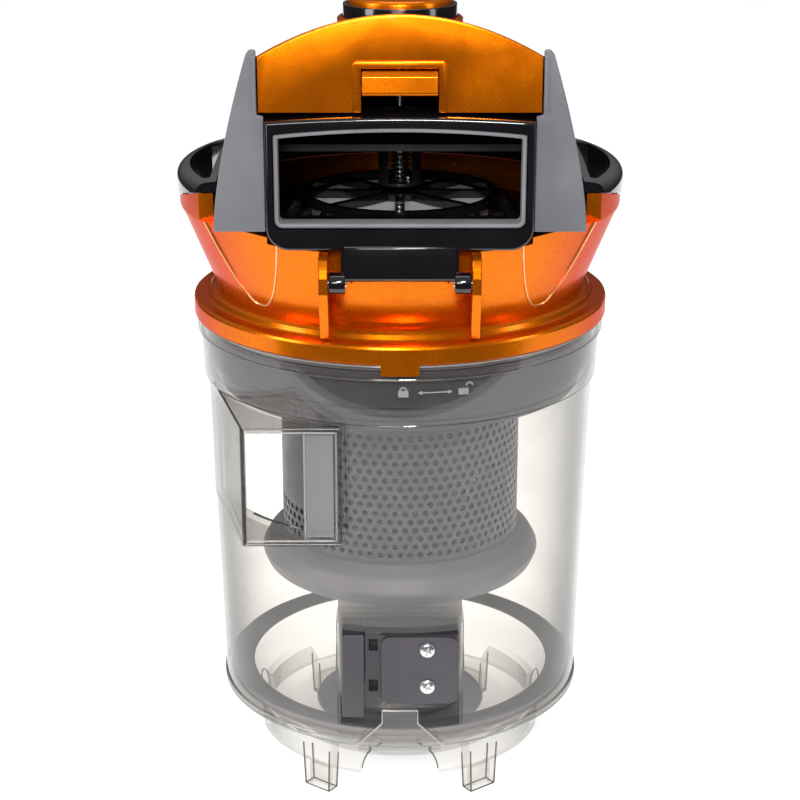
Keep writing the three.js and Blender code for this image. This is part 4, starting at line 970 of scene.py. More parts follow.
# Pale beads round the tab and along the rim: painted highlights on the clear door's edges.
half_tab = [(16.4, RIM_FOOT + 0.5), (16.3, RIM_TOP), (7.0, 47), (7.0, 52.6)]
tab_line = [(x, -77.3, z) for x, z in half_tab + mirrored(half_tab)]
door_highlight_beads = put_together(bead(tab_line, 0.4), bead(level_circle(DOOR_RIM - 0.3, RIM_TOP - 0.5), 0.42, True),
                           bead(level_circle(DOOR_RIM - 0.5, RIM_FOOT + 0.4), 0.25, True))
finish_piece("door_painted_highlight_beads", door_highlight_beads, "door", painted_highlight_edge)
pin_low, pin_high = box_of("door_hinge_pin")
finish_piece("door_pin", soften(bar(1.6, "X", pin_low.x, pin_high.x, DOOR_Y,
                                    DOOR_Z), 0.3), "container", steel, ["door_hinge_pin"])

# %% [markdown]
# ## The orange housing
#
# A flange sits on the bin, and above it the body flares out like a funnel. Each side of the front has one
# flat facet, whose meeting line with the funnel is a wide U. Between two upright ribs the wall is set back,
# and the cover's hinge barrels run there. The funnel is turned, and the rest is cut from it.

# %% Sizes of the housing
FLANGE_RADIUS = RIM + 1
FLANGE_TOP = 204.0
FLARE_FOOT, FLARE_TOP = 4.0, 38.0
FLARE_NARROW, FLARE_WIDE = 73.2, 87.0
DECK, DECK_WALL = 25.0, 3.0
HINGE_Y, HINGE_Z, BARREL = -84.5, 24.5, 4.0
BARREL_FROM, BARREL_LONG = 19.7, 6.0
DUCT_FOOT = 36.5
ring_low, ring_high = box_of("saddle_ring")
RING = ring_high.x
RING_TOP = ring_high.z - FLANGE_TOP
RING_INNER, RING_FRONT = 70.0, ring_low.y
SEAM_RISE = 0.235


def lifted(bm):
    """From heights above the flange's top to heights above the ground."""
    bmesh.ops.translate(bm, vec=(0, 0, FLANGE_TOP), verts=bm.verts)
    return bm


def flare(z):
    return FLARE_NARROW + (FLARE_WIDE - FLARE_NARROW) * (z - FLARE_FOOT) / (FLARE_TOP - FLARE_FOOT)


def flare_inner(z):
    return flare(z) - 2.8 - 1.9 * (z - FLARE_FOOT) / (FLARE_TOP - FLARE_FOOT)


print("flange radius", round(FLANGE_RADIUS, 2), "flare top radius", FLARE_WIDE)

# %% Facets, ribs and the housing itself
FACET_ANGLE, FACET_LEAN = 225.5, 0.3285
FACET_HEIGHT, FACET_DEPTH = 19.6, 0.975


def facet_plane(side):
    """The plane's outward normal and a point on it."""
    angle = math.radians(FACET_ANGLE)
    reach = flare(FACET_HEIGHT) - FACET_DEPTH
    normal = Vector((side * math.cos(angle), math.sin(angle), -FACET_LEAN)).normalized()
    return normal, Vector((side * reach * math.cos(angle), reach * math.sin(angle), FACET_HEIGHT))


def facet(side, foot, depth=0.0):
    """Everything outside one flat facet, from a height up."""
    normal, point = facet_plane(side)
    bm = bmesh.new()
    bmesh.ops.create_cube(bm, size=240)
    turn = Vector((0, 0, 1)).rotation_difference(normal).to_matrix()
    bmesh.ops.rotate(bm, cent=(0, 0, 0), matrix=turn, verts=bm.verts)
    bmesh.ops.translate(bm, vec=point + normal * (120 - depth), verts=bm.verts)
    return worked(bm, (KEEP, block(-260, 260, -260, 260, foot, 260)))


def hinge_rib(x):
    front = HINGE_Y - BARREL
    outline = [(-72, 1), (-76.8, 1), (front, 21), (front, HINGE_Z + 2.5), (front + 0.7, HINGE_Z + 5.6),
               (front + 2.4, HINGE_Z + 8.8), (front + 8, DUCT_FOOT - 1.6), (-76, DUCT_FOOT - 1.6)]
    return soften(pressed(outline, "X", x, x + 3.4), 0.35, 2)


def turn_tab():
    ring = turned([(BAND + 0.8, -11.5), (FLANGE_RADIUS, -11.5), (FLANGE_RADIUS, -6.5), (BAND + 0.8, -6.5)])
    return worked(ring, (KEEP, block(-7.2, 7.2, -100, -60, -20, 0)))


def housing_shell():
    inner, low = 71.0, DECK - DECK_WALL
    return turned([(inner, -7.5), (FLANGE_RADIUS - 0.6, -7.5), (FLANGE_RADIUS, -6.9), (FLANGE_RADIUS, -1.4),
                   (FLANGE_RADIUS - 0.3, -0.5), (FLANGE_RADIUS - 1.2, 0), (78.2, 0), (77.4, 0.2), (76.9, 0.7),
                   (76.5, 2.4), (75.6, 3.4), (FLARE_NARROW, FLARE_FOOT), (FLARE_WIDE, FLARE_TOP),
                   (flare_inner(FLARE_TOP), FLARE_TOP), (flare_inner(DECK), DECK), (34, DECK), (34, low),
                   (flare_inner(low), low), (inner, FLARE_FOOT + 0.5)])


def set_back():
    """Space in front of the recessed wall between the ribs."""
    edge = BARREL_FROM + BARREL_LONG + 0.3
    wall = -HINGE_Y - BARREL - 0.1
    core = turned([(0, -60), (wall, -60), (wall, 60), (0, 60)])
    skin = turned([(0, -40), (flare(-40) - 2, -40), (flare(60) - 2, 60), (0, 60)])
    return worked(block(-edge, edge, -100, -60, FLARE_FOOT, 60), (CUT, worked(core, (KEEP, skin))))


def above_ring_seam(shift):
    """Space above the seam under the ring, which is level behind and rises towards the front."""
    low = FLARE_TOP + shift
    return pressed([(-160, low + SEAM_RISE * 160), (0, low), (160, low), (160, 120), (-160, 120)], "X",
                   -160, 160)


def tray_room(side, wall):
    """Finger recess between a straight inner side and the ring's curve."""
    radius, foot = RING - 5.5 + wall, RING_TOP - 9 - wall
    top = RING_TOP - 2.6 if wall else RING_TOP + 1
    near, far = sorted((side * (RING_INNER + 2 - wall), side * 160))
    return worked(turned([(0, foot), (radius, foot), (radius, top), (0, top)]),
                  (KEEP, block(near, far, RING_FRONT + 6.5 - wall, 30 + wall, 0, 160)))


def wings():
    """The flare goes on upwards under the ring's front ends."""
    outer = FLARE_WIDE + 0.3
    wall = turned([(outer - 4.7, FLARE_TOP - 1), (outer - 0.3, FLARE_TOP - 1), (outer, FLARE_TOP),
                   (outer, RING_TOP), (outer - 4.7, RING_TOP)])
    return worked(wall, (CUT, above_ring_seam(0)), (CUT, block(-160, 160, 0, 160, 0, 60)),
                  (CUT, block(-160, 160, -160, RING_FRONT, FLARE_TOP, 70)),
                  (CUT, block(-69.2, 69.2, -160, -11, FLARE_TOP - 8, 70)), (CUT, tray_room(1, 1.9)),
                  (CUT, tray_room(-1, 1.9)))


def flared_housing():
    edge = BARREL_FROM + BARREL_LONG + 0.3
    wall = -HINGE_Y - BARREL - 0.1
    liner = turned([(wall - 3, DECK - 4), (wall, DECK - 4), (wall, DUCT_FOOT - 1.3),
                    (wall - 3, DUCT_FOOT - 1.3)])
    front = worked(liner, (KEEP, block(-edge - 2, edge + 2, -100, -50, 0, 60)))
    body = worked(housing_shell(), (JOIN, wings()), (JOIN, front), (CUT, facet(1, FLARE_FOOT)),
                  (CUT, facet(-1, FLARE_FOOT)),
                  (CUT, set_back()), (CUT, block(-48.6, 48.6, -100, -50, DUCT_FOOT - 1.3, 60)),
                  (JOIN, hinge_rib(edge)), (JOIN, hinge_rib(-edge - 3.4)), (JOIN, turn_tab()),
                  (CUT, bar(1.8, "X", -40, 40, HINGE_Y, HINGE_Z)))
    return lifted(body)


finish_piece("flared_housing", flared_housing(), "housing", candy_orange, ["upper_housing"], crease=12,
             round_shading=True)

# %% [markdown]
# Where each facet meets the funnel, a thin pale bead paints the highlight along the edge. The edge is the
# line in which a plane cuts a cone, so its points are worked out height by height, and the bead follows them.

# %% Painted highlights along the facets' edges
def facet_edge(side):
    """Points where the facet's plane meets the funnel, down one side of the U and up the other."""
    normal, point = facet_plane(1)
    offset = normal.dot(point)
    level = math.hypot(normal.x, normal.y)
    middle = math.atan2(normal.y, normal.x)
    near, far = [], []
    for i in range(49):
        z = FLARE_TOP - (FLARE_TOP - FLARE_FOOT) * i / 48
        share = (offset - normal.z * z) / (level * flare(z))
        if share > 1:
            break
        opened = math.acos(share)
        for line, angle in ((near, middle - opened), (far, middle + opened)):
            line.append((side * flare(z) * math.cos(angle), flare(z) * math.sin(angle), z + FLANGE_TOP))
    return near + far[::-1]


finish_piece("facet_highlight_beads", put_together(bead(facet_edge(1), 0.45), bead(facet_edge(-1), 0.45)), "housing",
             painted_highlight_orange)

# %% [markdown]
# The inside of the funnel is a separate black moulding, which carries the filter. It is a thin turned shell
# that follows the funnel's inner side and covers the deck.

# %% Black liner of the funnel
def bowl_liner():
    """A shell just inside the funnel, with a flat ring over the deck."""
    top, out = FLARE_TOP - 1.6, 0.15
    ring = turned([(46.6, DECK + 0.05), (flare_inner(DECK) - out, DECK + 0.05), (flare_inner(top) - out, top),
                   (flare_inner(top) - 1.1, top), (flare_inner(DECK + 0.8) - 1.1, DECK + 0.8),
                   (46.6, DECK + 0.8)])
    clear = block(-49.2, 49.2, -160, -50, DUCT_FOOT - 1.5, 60)
    wall = -HINGE_Y - BARREL - 3.4
    core = turned([(0, 0), (wall, 0), (wall, 60), (0, 60)])
    return lifted(worked(ring, (CUT, clear), (CUT, facet(1, FLARE_FOOT, 5.0)),
                         (CUT, facet(-1, FLARE_FOOT, 5.0)),
                         (KEEP, core)))


finish_piece("bowl_liner", bowl_liner(), "housing", satin_black, round_shading=True)

# %% [markdown]
# ## The black ring
#
# A glossy ring sits on the funnel and carries the cover. Its outer edge is rounded over, and its top has a
# finger recess on each side. The front is open for the cover.

# %% The ring with its finger recesses
def round_over(r, z, radius, first, last):
    return arc(r, z, radius, first, last, 6)


def black_ring():
    foot = FLARE_TOP + 0.3
    inner = flare_inner(FLARE_TOP)
    profile = [(inner, foot), (FLARE_WIDE + 0.3, foot)] + round_over(RING - 1.6, foot + 2.2, 1.6, -50, 0)
    profile += round_over(RING - 4.6, RING_TOP - 6.2, 4.6, 0, 72)
    profile += [(RING_INNER + 2.4, RING_TOP), (RING_INNER + 0.5, RING_TOP), (RING_INNER, RING_TOP - 0.5),
                (RING_INNER, RING_TOP - 3.6), (inner + 0.4, RING_TOP - 5.4)]
    steps = [(KEEP, above_ring_seam(0.3)), (JOIN, tray_room(1, 1.6)), (JOIN, tray_room(-1, 1.6)),
             (CUT, tray_room(1, 0)), (CUT, tray_room(-1, 0)), (CUT, block(-69.2, 69.2, -160, -11, 30, 70)),
             (CUT, block(-160, 160, -160, RING_FRONT, 30, 70))]
    return lifted(worked(turned(profile), *steps))


finish_piece("black_ring", black_ring(), "housing", ring_black, ["saddle_ring"], round_shading=True)

# %% [markdown]
# ## The filter
#
# A spoked wheel holds a pale filter down on its rubber ring. The wheel's rim is sloped and has windows
# between the spokes. The bars of the wheel are turned as one ring and pressed as one spoke that is
# repeated.

# %% The spoked wheel, the filter and its seal
WHEEL, WHEEL_TOP, WHEEL_FOOT, SHOULDER = 46.0, 40.0, 27.6, 37.5


def spoke_set(reach, wide, low, high):
    bars = []
    for i in range(4):
        bm = block(-reach, reach, -wide / 2, wide / 2, low, high)
        turn = Matrix.Rotation(math.pi / 2 + math.pi / 4 * i, 3, "Z")
        bmesh.ops.rotate(bm, cent=(0, 0, 0), matrix=turn, verts=bm.verts)
        bars.append((JOIN, bm))
    return worked(turned([(0, low), (4, low), (4, high), (0, high)], MEDIUM), *bars)


def spoked_wheel():
    low = WHEEL_TOP - 3
    flank = turned([(SHOULDER - 1, low), (WHEEL - 3, WHEEL_FOOT), (WHEEL, WHEEL_FOOT),
                    (WHEEL, WHEEL_FOOT + 2), (SHOULDER + 2.4, WHEEL_TOP), (SHOULDER - 1, WHEEL_TOP)])
    rim = turned([(WHEEL - 3, WHEEL_FOOT), (WHEEL, WHEEL_FOOT), (WHEEL, WHEEL_FOOT + 2.6),
                  (WHEEL - 0.4, WHEEL_FOOT + 3), (WHEEL - 3, WHEEL_FOOT + 3)])
    band = turned([(SHOULDER - 1, low), (SHOULDER + 2.4, low), (SHOULDER + 2.4, WHEEL_TOP - 0.8),
                   (SHOULDER + 1.8, WHEEL_TOP - 0.1), (SHOULDER + 1, WHEEL_TOP), (SHOULDER - 1, WHEEL_TOP)])
    hub = turned([(0, low), (8.5, low), (8.5, WHEEL_TOP - 0.5), (8, WHEEL_TOP), (0, WHEEL_TOP)], MEDIUM)
    ribs = worked(spoke_set(WHEEL - 0.5, 3.6, WHEEL_FOOT, WHEEL_TOP), (KEEP, flank))
    bars = spoke_set(SHOULDER, 3.6, low, WHEEL_TOP)
    return lifted(worked(rim, (JOIN, band), (JOIN, hub), (JOIN, ribs), (JOIN, bars)))


def filter_pad():
    """A felt disc whose top rises and falls a little."""
    low, high = box_of("filter_media")
    bm = turned([(0, low.z), (high.x - 0.5, low.z), (high.x, low.z + 0.5), (high.x, high.z - 1),
                 (high.x - 1, high.z), (0, high.z)], MEDIUM)
    rings = [e for e in bm.edges if all(v.co.z > high.z - 0.01 for v in e.verts) and e.calc_length() > 8]
    bmesh.ops.subdivide_edges(bm, edges=rings, cuts=8, use_grid_fill=True)
    for vert in bm.verts:
        reach = math.hypot(vert.co.x, vert.co.y)
        if vert.co.z > high.z - 0.01 and reach < high.x - 2:
            vert.co.z -= 0.25 + 0.25 * math.cos(reach * 1.3)
    return bm


finish_piece("spoked_wheel", spoked_wheel(), "housing", ring_black, ["filter_frame"], round_shading=True)
finish_piece("filter_pad", filter_pad(), "housing", pale_fleece, ["filter_media"])
finish_piece("filter_ring", respun("filter_seal", 0.4), "housing", grey_rubber, ["filter_seal"])

# %% [markdown]
# ## The cover and its lid
#
# The cover is one hollow form: wide at the foot, leaning in towards the top, with an arched roof that falls
# gently to the back and then rounds down. The orange lid is the part above a seam, and the black shell is
# the part below. The form is a loft: one arched section is swept back in steps, each a little lower than
# the one before.

# %% Sizes of the cover
COVER_FRONT, COVER_BACK, COVER_FOOT, COVER_WALL = -80.0, 69.6, 43.6, 3.0
FOOT_HALF, TIP_HALF, TIP = 67.0, 53.6, 107.4
LID_HALF, LID_TOP, LID_CROWN, LID_FALL = 50.0, 120.0, 14.5, 0.15
SEAM_FRONT, SEAM_BACK = 85.5, 60.0
CATCH_HALF, CATCH_TOP = 13.4, 100.8
BUTTON = 20.3
DUCT_HALF, DUCT_TOP = 47.8, 83.0


def side_edge(z):
    share = max(0.0, (z - COVER_FOOT) / (TIP - COVER_FOOT))
    return FOOT_HALF - (FOOT_HALF - TIP_HALF) * share ** 1.5


def lid_arch(x):
    return LID_TOP - LID_CROWN * (x / LID_HALF) ** 2


def roof_line(y):
    back = max(0.0, y - 10) / (COVER_BACK - 10)
    return LID_TOP - LID_FALL * (y - COVER_FRONT) - 44 * back ** 2.4


print("lid's front top at", LID_TOP + FLANGE_TOP)

# %% The hollow form of the cover
def arched_section(inset, shrink):
    """Half-widths up the sides and the arch over the top, as one closed outline."""
    foot = COVER_FOOT - (1 if inset > 0 else 0)
    top = lid_arch(TIP_HALF)
    side = []
    for i in range(13):
        z = COVER_FOOT + (top - COVER_FOOT) * i / 12
        last = i == 12
        side.append((side_edge(z) - 0.8 - inset - shrink,
                     foot if i == 0 else z - (inset + shrink if last else 0)))
    reach = side_edge(top) - 0.8 - inset - shrink
    crown = [(reach * (1 - i / 16), lid_arch(reach * (1 - i / 16)) - inset - shrink) for i in range(1, 32)]
    return side + crown + mirrored(side)


def cover_loft(inset):
    """The arched section swept from front to back, with its front edge rounded."""
    first, last = COVER_FRONT + inset, COVER_BACK - inset
    soft = 1.2 if inset == 0 else 0.0
    stops = [(first + soft * (1 - math.cos(math.radians(a))), soft * (1 - math.sin(math.radians(a))))
             for a in (0, 30, 60, 90)] if soft else [(first, 0.0)]
    start = stops[-1][0]
    stops += [(start + (last - start) * i / 36, 0.0) for i in range(1, 37)]
    bm = bmesh.new()
    rings = []
    for y, shrink in stops:
        lower = (roof_line(y) - inset - COVER_FOOT) / (LID_TOP - inset - COVER_FOOT)
        points = [(x, y, z if z <= COVER_FOOT else COVER_FOOT + (z - COVER_FOOT) * lower)
                  for x, z in arched_section(inset, shrink)]
        rings.append(wire(bm, points, True))
    for (_, near), (_, far) in zip(rings, rings[1:]):
        bmesh.ops.bridge_loops(bm, edges=near + far)
    for verts, _ in (rings[0], rings[-1]):
        bm.faces.new(verts)
    bmesh.ops.recalc_face_normals(bm, faces=bm.faces)
    plan = worked(turned([(0, 0), (COVER_BACK - inset, 0), (COVER_BACK - inset, 200), (0, 200)]),
                  (JOIN, block(-FOOT_HALF, FOOT_HALF, COVER_FRONT - 1, -9, 0, 200)))
    return worked(bm, (KEEP, plan))


def hollow_cover():
    return worked(cover_loft(0), (CUT, cover_loft(COVER_WALL)))


def above_seam(half, shift):
    def seam(y):
        share = max(0.0, (y - COVER_FRONT) / (COVER_BACK - COVER_FRONT))
        return SEAM_FRONT + (SEAM_BACK - SEAM_FRONT) * share + shift

    front, back = COVER_FRONT - 10, COVER_BACK + 10
    return pressed([(front, seam(front)), (COVER_FRONT, seam(COVER_FRONT)), (back, seam(back)), (back, 160),
                    (front, 160)], "X", -half, half)


# %% The orange lid with its catch notch
CATCH_EDGE = CATCH_HALF + 0.3


def notch_frame():
    """A raised border round the notch, open below."""
    outer, inner = CATCH_EDGE + 3.2, CATCH_EDGE
    outline = [(-outer, SEAM_FRONT), (-inner, SEAM_FRONT), (-inner, CATCH_TOP + 0.3),
               (inner, CATCH_TOP + 0.3), (inner, SEAM_FRONT), (outer, SEAM_FRONT), (outer, CATCH_TOP + 1.7),
               (outer - 1.2, CATCH_TOP + 2.9), (1.2 - outer, CATCH_TOP + 2.9), (-outer, CATCH_TOP + 1.7)]
    return soften(pressed(outline, "Y", COVER_FRONT - 1.1, COVER_FRONT + 0.6), 0.45, 3)


def orange_lid():
    ring = BUTTON + 2.2
    notch = block(-CATCH_EDGE, CATCH_EDGE, COVER_FRONT - 5, COVER_FRONT + 4, SEAM_FRONT - 2, CATCH_TOP + 0.3)
    hole = turned([(0, 80), (ring, 80), (ring, 140), (0, 140)], MEDIUM)
    seat = turned([(ring, LID_TOP - 16), (ring + 2, LID_TOP - 16), (ring + 2, LID_TOP - 12),
                   (ring + 1.4, LID_TOP - 11.4), (ring, LID_TOP - 11.2)], MEDIUM)
    return lifted(worked(hollow_cover(), (KEEP, above_seam(LID_HALF, 0)), (JOIN, notch_frame()), (JOIN, seat),
                         (CUT, notch), (CUT, hole)))


def black_shell():
    side = DUCT_HALF - 1
    front, back = COVER_FRONT - 5, COVER_FRONT + 3.1
    half = DUCT_HALF + 0.3
    return lifted(worked(hollow_cover(), (CUT, above_seam(LID_HALF + 0.3, -0.3)),
                         (CUT, block(side, 90, front, back, 0, 200)),
                         (CUT, block(-90, -side, front, back, 0, 200)),
                         (CUT, block(-half, half, front, -50, 0, SEAM_FRONT + 8))))


finish_piece("orange_lid", orange_lid(), "cover", candy_orange, ["top_lid"], crease=25)
finish_piece("black_shell", black_shell(), "cover", satin_black, ["cover_shell"], crease=25)

# %% [markdown]
# Two satin grey plates close the cover's front at the sides. Each has a straight inner edge, a curved outer
# edge and a pointed tip. A narrow raised strip runs beside the lid, and a lip runs along the foot.

# %% Side plates
def side_plate(side):
    inner, low = LID_HALF + 0.6, DUCT_HALF + 0.5
    foot = COVER_FOOT - 1.3
    levels = [foot + (TIP - 1.5 - foot) * i / 24 for i in range(25)]
    edge = [(side_edge(level), level) for level in levels]
    outline = [(low, foot)] + edge + [(TIP_HALF - 0.4, TIP - 0.4), (TIP_HALF - 1.2, TIP), (inner + 0.6, TIP),
                                      (inner, TIP - 0.6), (inner, DUCT_TOP + 1.5), (low, DUCT_TOP + 1)]
    outline = outline if side > 0 else mirrored(outline)
    plate = soften(pressed(outline, "Y", COVER_FRONT, COVER_FRONT + 2.8), 0.5, 3)
    return lifted(plate)


def plate_strip(side):
    """The narrow strip that stands a little proud along the inner edge."""
    inner = LID_HALF + 0.7
    outline = [(inner, DUCT_TOP + 3), (inner + 1.5, DUCT_TOP + 3), (inner + 1.5, TIP - 2), (inner, TIP - 2)]
    outline = outline if side > 0 else mirrored(outline)
    return lifted(soften(pressed(outline, "Y", COVER_FRONT - 0.5, COVER_FRONT + 0.3), 0.25, 2))


for side, word in ((1, "right"), (-1, "left")):
    finish_piece(f"grey_plate_{word}", side_plate(side), "cover", satin_grey, [f"side_plate_{word}"],
                 weighted=True)
    finish_piece(f"plate_strip_{word}", plate_strip(side), "cover", satin_grey, weighted=True)

# %% [markdown]
# ## The outlet duct
#
# The air leaves through a wide gloss black duct with rounded lower corners and a slightly arched top. A
# bracket under it carries the hinge barrels. A pale rubber lip lines the mouth.

# %% Duct, bracket and lip
DUCT_FRONT, DUCT_BACK, DUCT_WALL = -85.0, -62.0, 2.6
MOUTH_FOOT, MOUTH_TOP = 44.2, 78.6


def duct_outline(half, low, top, corner, rise, steps=8):
    crown = [(half * (1 - i / 12), top + rise * (1 - (1 - i / 12) ** 2)) for i in range(25)]
    return (arc(-half + corner, low + corner, corner, 180, 270, steps)
            + arc(half - corner, low + corner, corner, 270, 360, steps) + crown)


def tapered(outline_at, start, end, soft, steps=3):
    """Press an outline along Y, with its front edge rounded by shrinking the outline there."""
    bm = bmesh.new()
    rings = []
    for i in range(steps + 1):
        angle = math.radians(90 * i / steps)
        shrink = soft * (1 - math.sin(angle))
        y = start + soft * (1 - math.cos(angle))
        rings.append(wire(bm, [(x, y, z) for x, z in outline_at(shrink)], True))
    rings.append(wire(bm, [(x, end, z) for x, z in outline_at(0)], True))
    for (_, near), (_, far) in zip(rings, rings[1:]):
        bmesh.ops.bridge_loops(bm, edges=near + far)
    for verts, _ in (rings[0], rings[-1]):
        bm.faces.new(verts)
    bmesh.ops.recalc_face_normals(bm, faces=bm.faces)
    return bm


def duct_body():
    return tapered(lambda s: duct_outline(DUCT_HALF - s, DUCT_FOOT + s, DUCT_TOP - s, 8 - s * 0.5, 1.6),
                   DUCT_FRONT, DUCT_BACK, 1.1)


def duct_mouth():
    half = DUCT_HALF - DUCT_WALL
    return pressed(duct_outline(half, MOUTH_FOOT, MOUTH_TOP, 3, 2.4), "Y", DUCT_FRONT - 1, DUCT_BACK + 1)


def bracket():
    front = DUCT_FRONT - 1.8
    edge = HINGE_Z + 3
    outline = [(front, DUCT_FOOT + 1.5), (front, edge)] + arc(HINGE_Y, edge, 2.4, 200, 340, 12)
    outline.append((HINGE_Y + 2.4, DUCT_FOOT + 1.5))
    plate = soften(pressed(outline, "X", -BARREL_FROM - 0.4, BARREL_FROM + 0.4), 0.4, 2)
    return plate


def duct_barrel(side):
    a, b = sorted((BARREL_FROM * side, (BARREL_FROM + BARREL_LONG) * side))
    barrel = soften(bar(BARREL, "X", a, b, HINGE_Y, HINGE_Z, 36), 0.4, 2)
    n0, n1 = sorted(((BARREL_FROM - 2.5) * side, (BARREL_FROM + 1.5) * side))
    neck = block(n0, n1, DUCT_FRONT, HINGE_Y + 2.4, HINGE_Z, DUCT_FOOT + 1)
    return worked(barrel, (JOIN, neck))


def outlet():
    steps = [(JOIN, bracket()), (JOIN, duct_barrel(1)), (JOIN, duct_barrel(-1)), (CUT, duct_mouth())]
    for side in (1, -1):
        a, b = sorted(((BARREL_FROM - 2) * side, 40 * side))
        steps.append((CUT, bar(1.8, "X", a, b, HINGE_Y, HINGE_Z)))
    return lifted(worked(duct_body(), *steps))


def mouth_lip():
    half, low, top = DUCT_HALF - DUCT_WALL - 0.3, MOUTH_FOOT + 0.3, MOUTH_TOP - 0.3
    front = DUCT_FRONT + 1.2
    outer = pressed(duct_outline(half, low, top, 2.8, 2.4), "Y", front, front + 9)
    inner = pressed(duct_outline(half - 1.5, low + 1.5, top - 1.5, 1.6, 2.3), "Y", front - 1, front + 10)
    return lifted(soften(worked(outer, (CUT, inner)), 0.6, 3))


finish_piece("outlet", outlet(), "cover", gloss_black, ["outlet_duct"], crease=30)
finish_piece("mouth_lip", mouth_lip(), "cover", grey_rubber, ["outlet_seal"])

# %% [markdown]
# ## What hangs under the lid
#
# A ceiling panel closes the lid below. A disc with two screws holds the slotted cage of the button's
# spring. The rod of the button runs down through it.

# %% Ceiling, disc, cage, rod and coil
finish_piece("ceiling", moulded("ceiling_panel", 0.2, 1), "cover", satin_black, ["ceiling_panel"])
disc_low, disc_high = box_of("hub_plate")


def screw_disc():
    low, high = disc_low.z, disc_high.z
    disc = turned([(4.4, low + 0.4), (4.8, low), (16.0, low), (16.6, low + 0.6), (16.6, high), (4.4, high)],
                  MEDIUM)
    steps = [(JOIN, block(x0, x1, -3.6, 3.6, high - 2.4, high)) for x0, x1 in ((-21, -6), (6, 21))]
    for x in (-21, 21):
        boss = turned([(1.6, low), (3.2, low), (3.6, low + 0.4), (3.6, high), (1.6, high)], SMALL)
        bmesh.ops.translate(boss, vec=(x, 0, 0), verts=boss.verts)
        hole = turned([(0, low - 1), (1.6, low - 1), (1.6, high + 1), (0, high + 1)], SMALL)
        bmesh.ops.translate(hole, vec=(x, 0, 0), verts=hole.verts)
        steps += [(JOIN, boss), (CUT, hole)]
    return worked(disc, *steps)


def ceiling_screw(side):
    low, high = box_of(f"hub_screw_{side}")
    x, head = (low.x + high.x) / 2, (high.x - low.x) / 2
    screw = turned([(0, low.z), (head - 1.4, low.z + 0.15), (head - 0.4, low.z + 0.7), (head, low.z + 1.6),
                    (head, low.z + 1.9), (1.3, low.z + 2.0), (1.3, high.z), (0, high.z)], 32)
    for angle in (20, 110):
        slot = block(-0.4, 0.4, -2, 2, low.z - 1, low.z + 0.9)
        bmesh.ops.rotate(slot, cent=(0, 0, 0), matrix=Matrix.Rotation(math.radians(angle), 3, "Z"),
                         verts=slot.verts)
        screw = worked(screw, (CUT, slot))
    bmesh.ops.translate(screw, vec=(x, 0, 0), verts=screw.verts)
    return screw


def spring_cage():
    low, high = box_of("plunger_cage")
    floor = low.z + 1.4
    wall = turned([(3.2, low.z), (8.2, low.z), (8.6, low.z + 0.4), (8.6, high.z), (6.8, high.z), (6.8, floor),
                   (3.2, floor)], MEDIUM)
    return worked(wall, (CUT, block(-4.6, 4.6, -20, 20, floor, high.z - 2.4)))


finish_piece("screw_disc", screw_disc(), "cover", satin_black, ["hub_plate"])
for side in ("left", "right"):
    finish_piece(f"ceiling_screw_{side}", ceiling_screw(side), "cover", steel, [f"hub_screw_{side}"])
finish_piece("spring_cage", spring_cage(), "cover", satin_black, ["plunger_cage"])
finish_piece("button_rod", respun("plunger", 0.2, 32), "button", steel, ["plunger"])
finish_piece("button_coil", coil("plunger_spring", 0.55, 6), "cover", steel, ["plunger_spring"])

# %% [markdown]
# ## Button, catch and pins
#
# The button is a shallow orange cap in a black collar. The catch is a short orange tongue that rocks on a
# pin below the lid's edge.

# %% Button, catch and pins
finish_piece("button_collar", respun("button_bezel", 0.4, MEDIUM), "cover", gloss_black, ["button_bezel"])
finish_piece("orange_button", respun("button_cap", 0.7, MEDIUM), "button", candy_orange, ["button_cap"])
finish_piece("catch", moulded("catch_tongue", 0.5, 3), "catch", candy_orange, ["catch_tongue"], weighted=True)


def cross_pin(node):
    low, high = box_of(node)
    middle = (low + high) / 2
    radius = (high.z - low.z) / 2
    return soften(bar(radius, "X", low.x, high.x, middle.y, middle.z), radius * 0.2)


for node, name, body in (("catch_pin", "catch_rod", "cover"), ("hinge_pin_left", "cover_pin_left", "housing"),
                         ("hinge_pin_right", "cover_pin_right", "housing")):
    finish_piece(name, cross_pin(node), body, steel, [node])
print("pieces made:", len(pieces_made))

# %% [markdown]
# ## Floor, light and camera
#
# The container stands on a plain white floor, which ends a little in front of it, so that its upright
# glossy faces mirror a darker room. Wide soft lamps hang left, right, above and in front, and a small one
# shines into the duct. The room itself is bright overhead and darker below.

# %% Floor
floor_bm = bmesh.new()
bmesh.ops.create_grid(floor_bm, x_segments=2, y_segments=2, size=1)
bmesh.ops.scale(floor_bm, vec=(1.0, 1.9, 1), verts=floor_bm.verts)
bmesh.ops.translate(floor_bm, vec=(0, 1.62, 0), verts=floor_bm.verts)
floor_mesh = bpy.data.meshes.new("floor")
floor_bm.to_mesh(floor_mesh)
floor_bm.free()
floor = bpy.data.objects.new("floor", floor_mesh)
bpy.context.scene.collection.objects.link(floor)
paper = Finish("paper")
paper.link(paper.blend(paper.noise(6, 2), (0.9, 0.9, 0.9, 1), (0.93, 0.93, 0.93, 1)),
           paper.shader.inputs["Base Color"])
paper.set(Roughness=0.9, Specular_IOR_Level=0.1, Emission_Color=(1, 1, 1, 1), Emission_Strength=0.62)
floor_mesh.materials.append(paper.material)

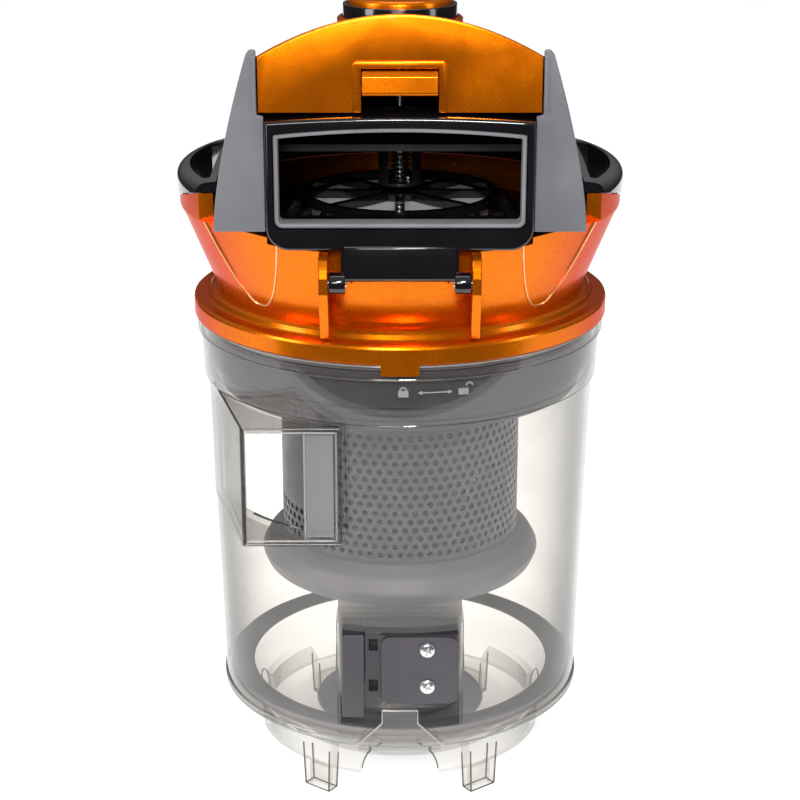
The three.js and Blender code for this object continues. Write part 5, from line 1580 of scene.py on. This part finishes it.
# %% Lamps and room
def soft_lamp(name, place, aim, wide, tall, power):
    data = bpy.data.lights.new(name, "AREA")
    data.shape = "RECTANGLE"
    data.size, data.size_y, data.energy = wide, tall, power
    lamp = bpy.data.objects.new(name, data)
    bpy.context.scene.collection.objects.link(lamp)
    lamp.location = place
    lamp.rotation_euler = (Vector(aim) - Vector(place)).to_track_quat("-Z", "Y").to_euler()


TARGET = (0, 0, 0.17)
soft_lamp("left_box", (-1.2, -0.6, 0.7), TARGET, 0.45, 0.9, 9)
soft_lamp("right_box", (1.25, -0.5, 0.6), TARGET, 0.3, 0.9, 4)
soft_lamp("top_box", (0.0, 0.1, 1.5), TARGET, 1.0, 0.7, 7)
soft_lamp("front_box", (-0.25, -1.7, 0.75), TARGET, 0.5, 0.4, 7)
soft_lamp("mouth_box", (0.05, -0.8, 0.62), (0, -0.03, 0.25), 0.16, 0.12, 4)

world = bpy.data.worlds.new("studio")
bpy.context.scene.world = world
world.use_nodes = True
room = world.node_tree
direction = room.nodes.new("ShaderNodeTexCoord")
axes = room.nodes.new("ShaderNodeSeparateXYZ")
shades = room.nodes.new("ShaderNodeValToRGB")
shades.color_ramp.elements[0].position = 0.0
shades.color_ramp.elements[0].color = (0.1, 0.1, 0.11, 1)
shades.color_ramp.elements[1].position = 0.75
shades.color_ramp.elements[1].color = (1, 1, 1, 1)
room.links.new(direction.outputs["Generated"], axes.inputs["Vector"])
room.links.new(axes.outputs["Z"], shades.inputs["Fac"])
room.links.new(shades.outputs["Color"], room.nodes["Background"].inputs["Color"])
room.nodes["Background"].inputs["Strength"].default_value = 0.45
print("lamps:", len(bpy.data.lights))

# %% Camera
camera = bpy.data.objects.new("camera", bpy.data.cameras.new("camera"))
bpy.context.scene.collection.objects.link(camera)
camera.location = (0, -0.7653, 0.4154)
camera.rotation_euler = (math.radians(90 - 18.77), 0, 0)
camera.data.lens = 88.0
camera.data.sensor_width = 36
bpy.context.scene.camera = camera
bpy.context.scene.view_settings.view_transform = "Standard"
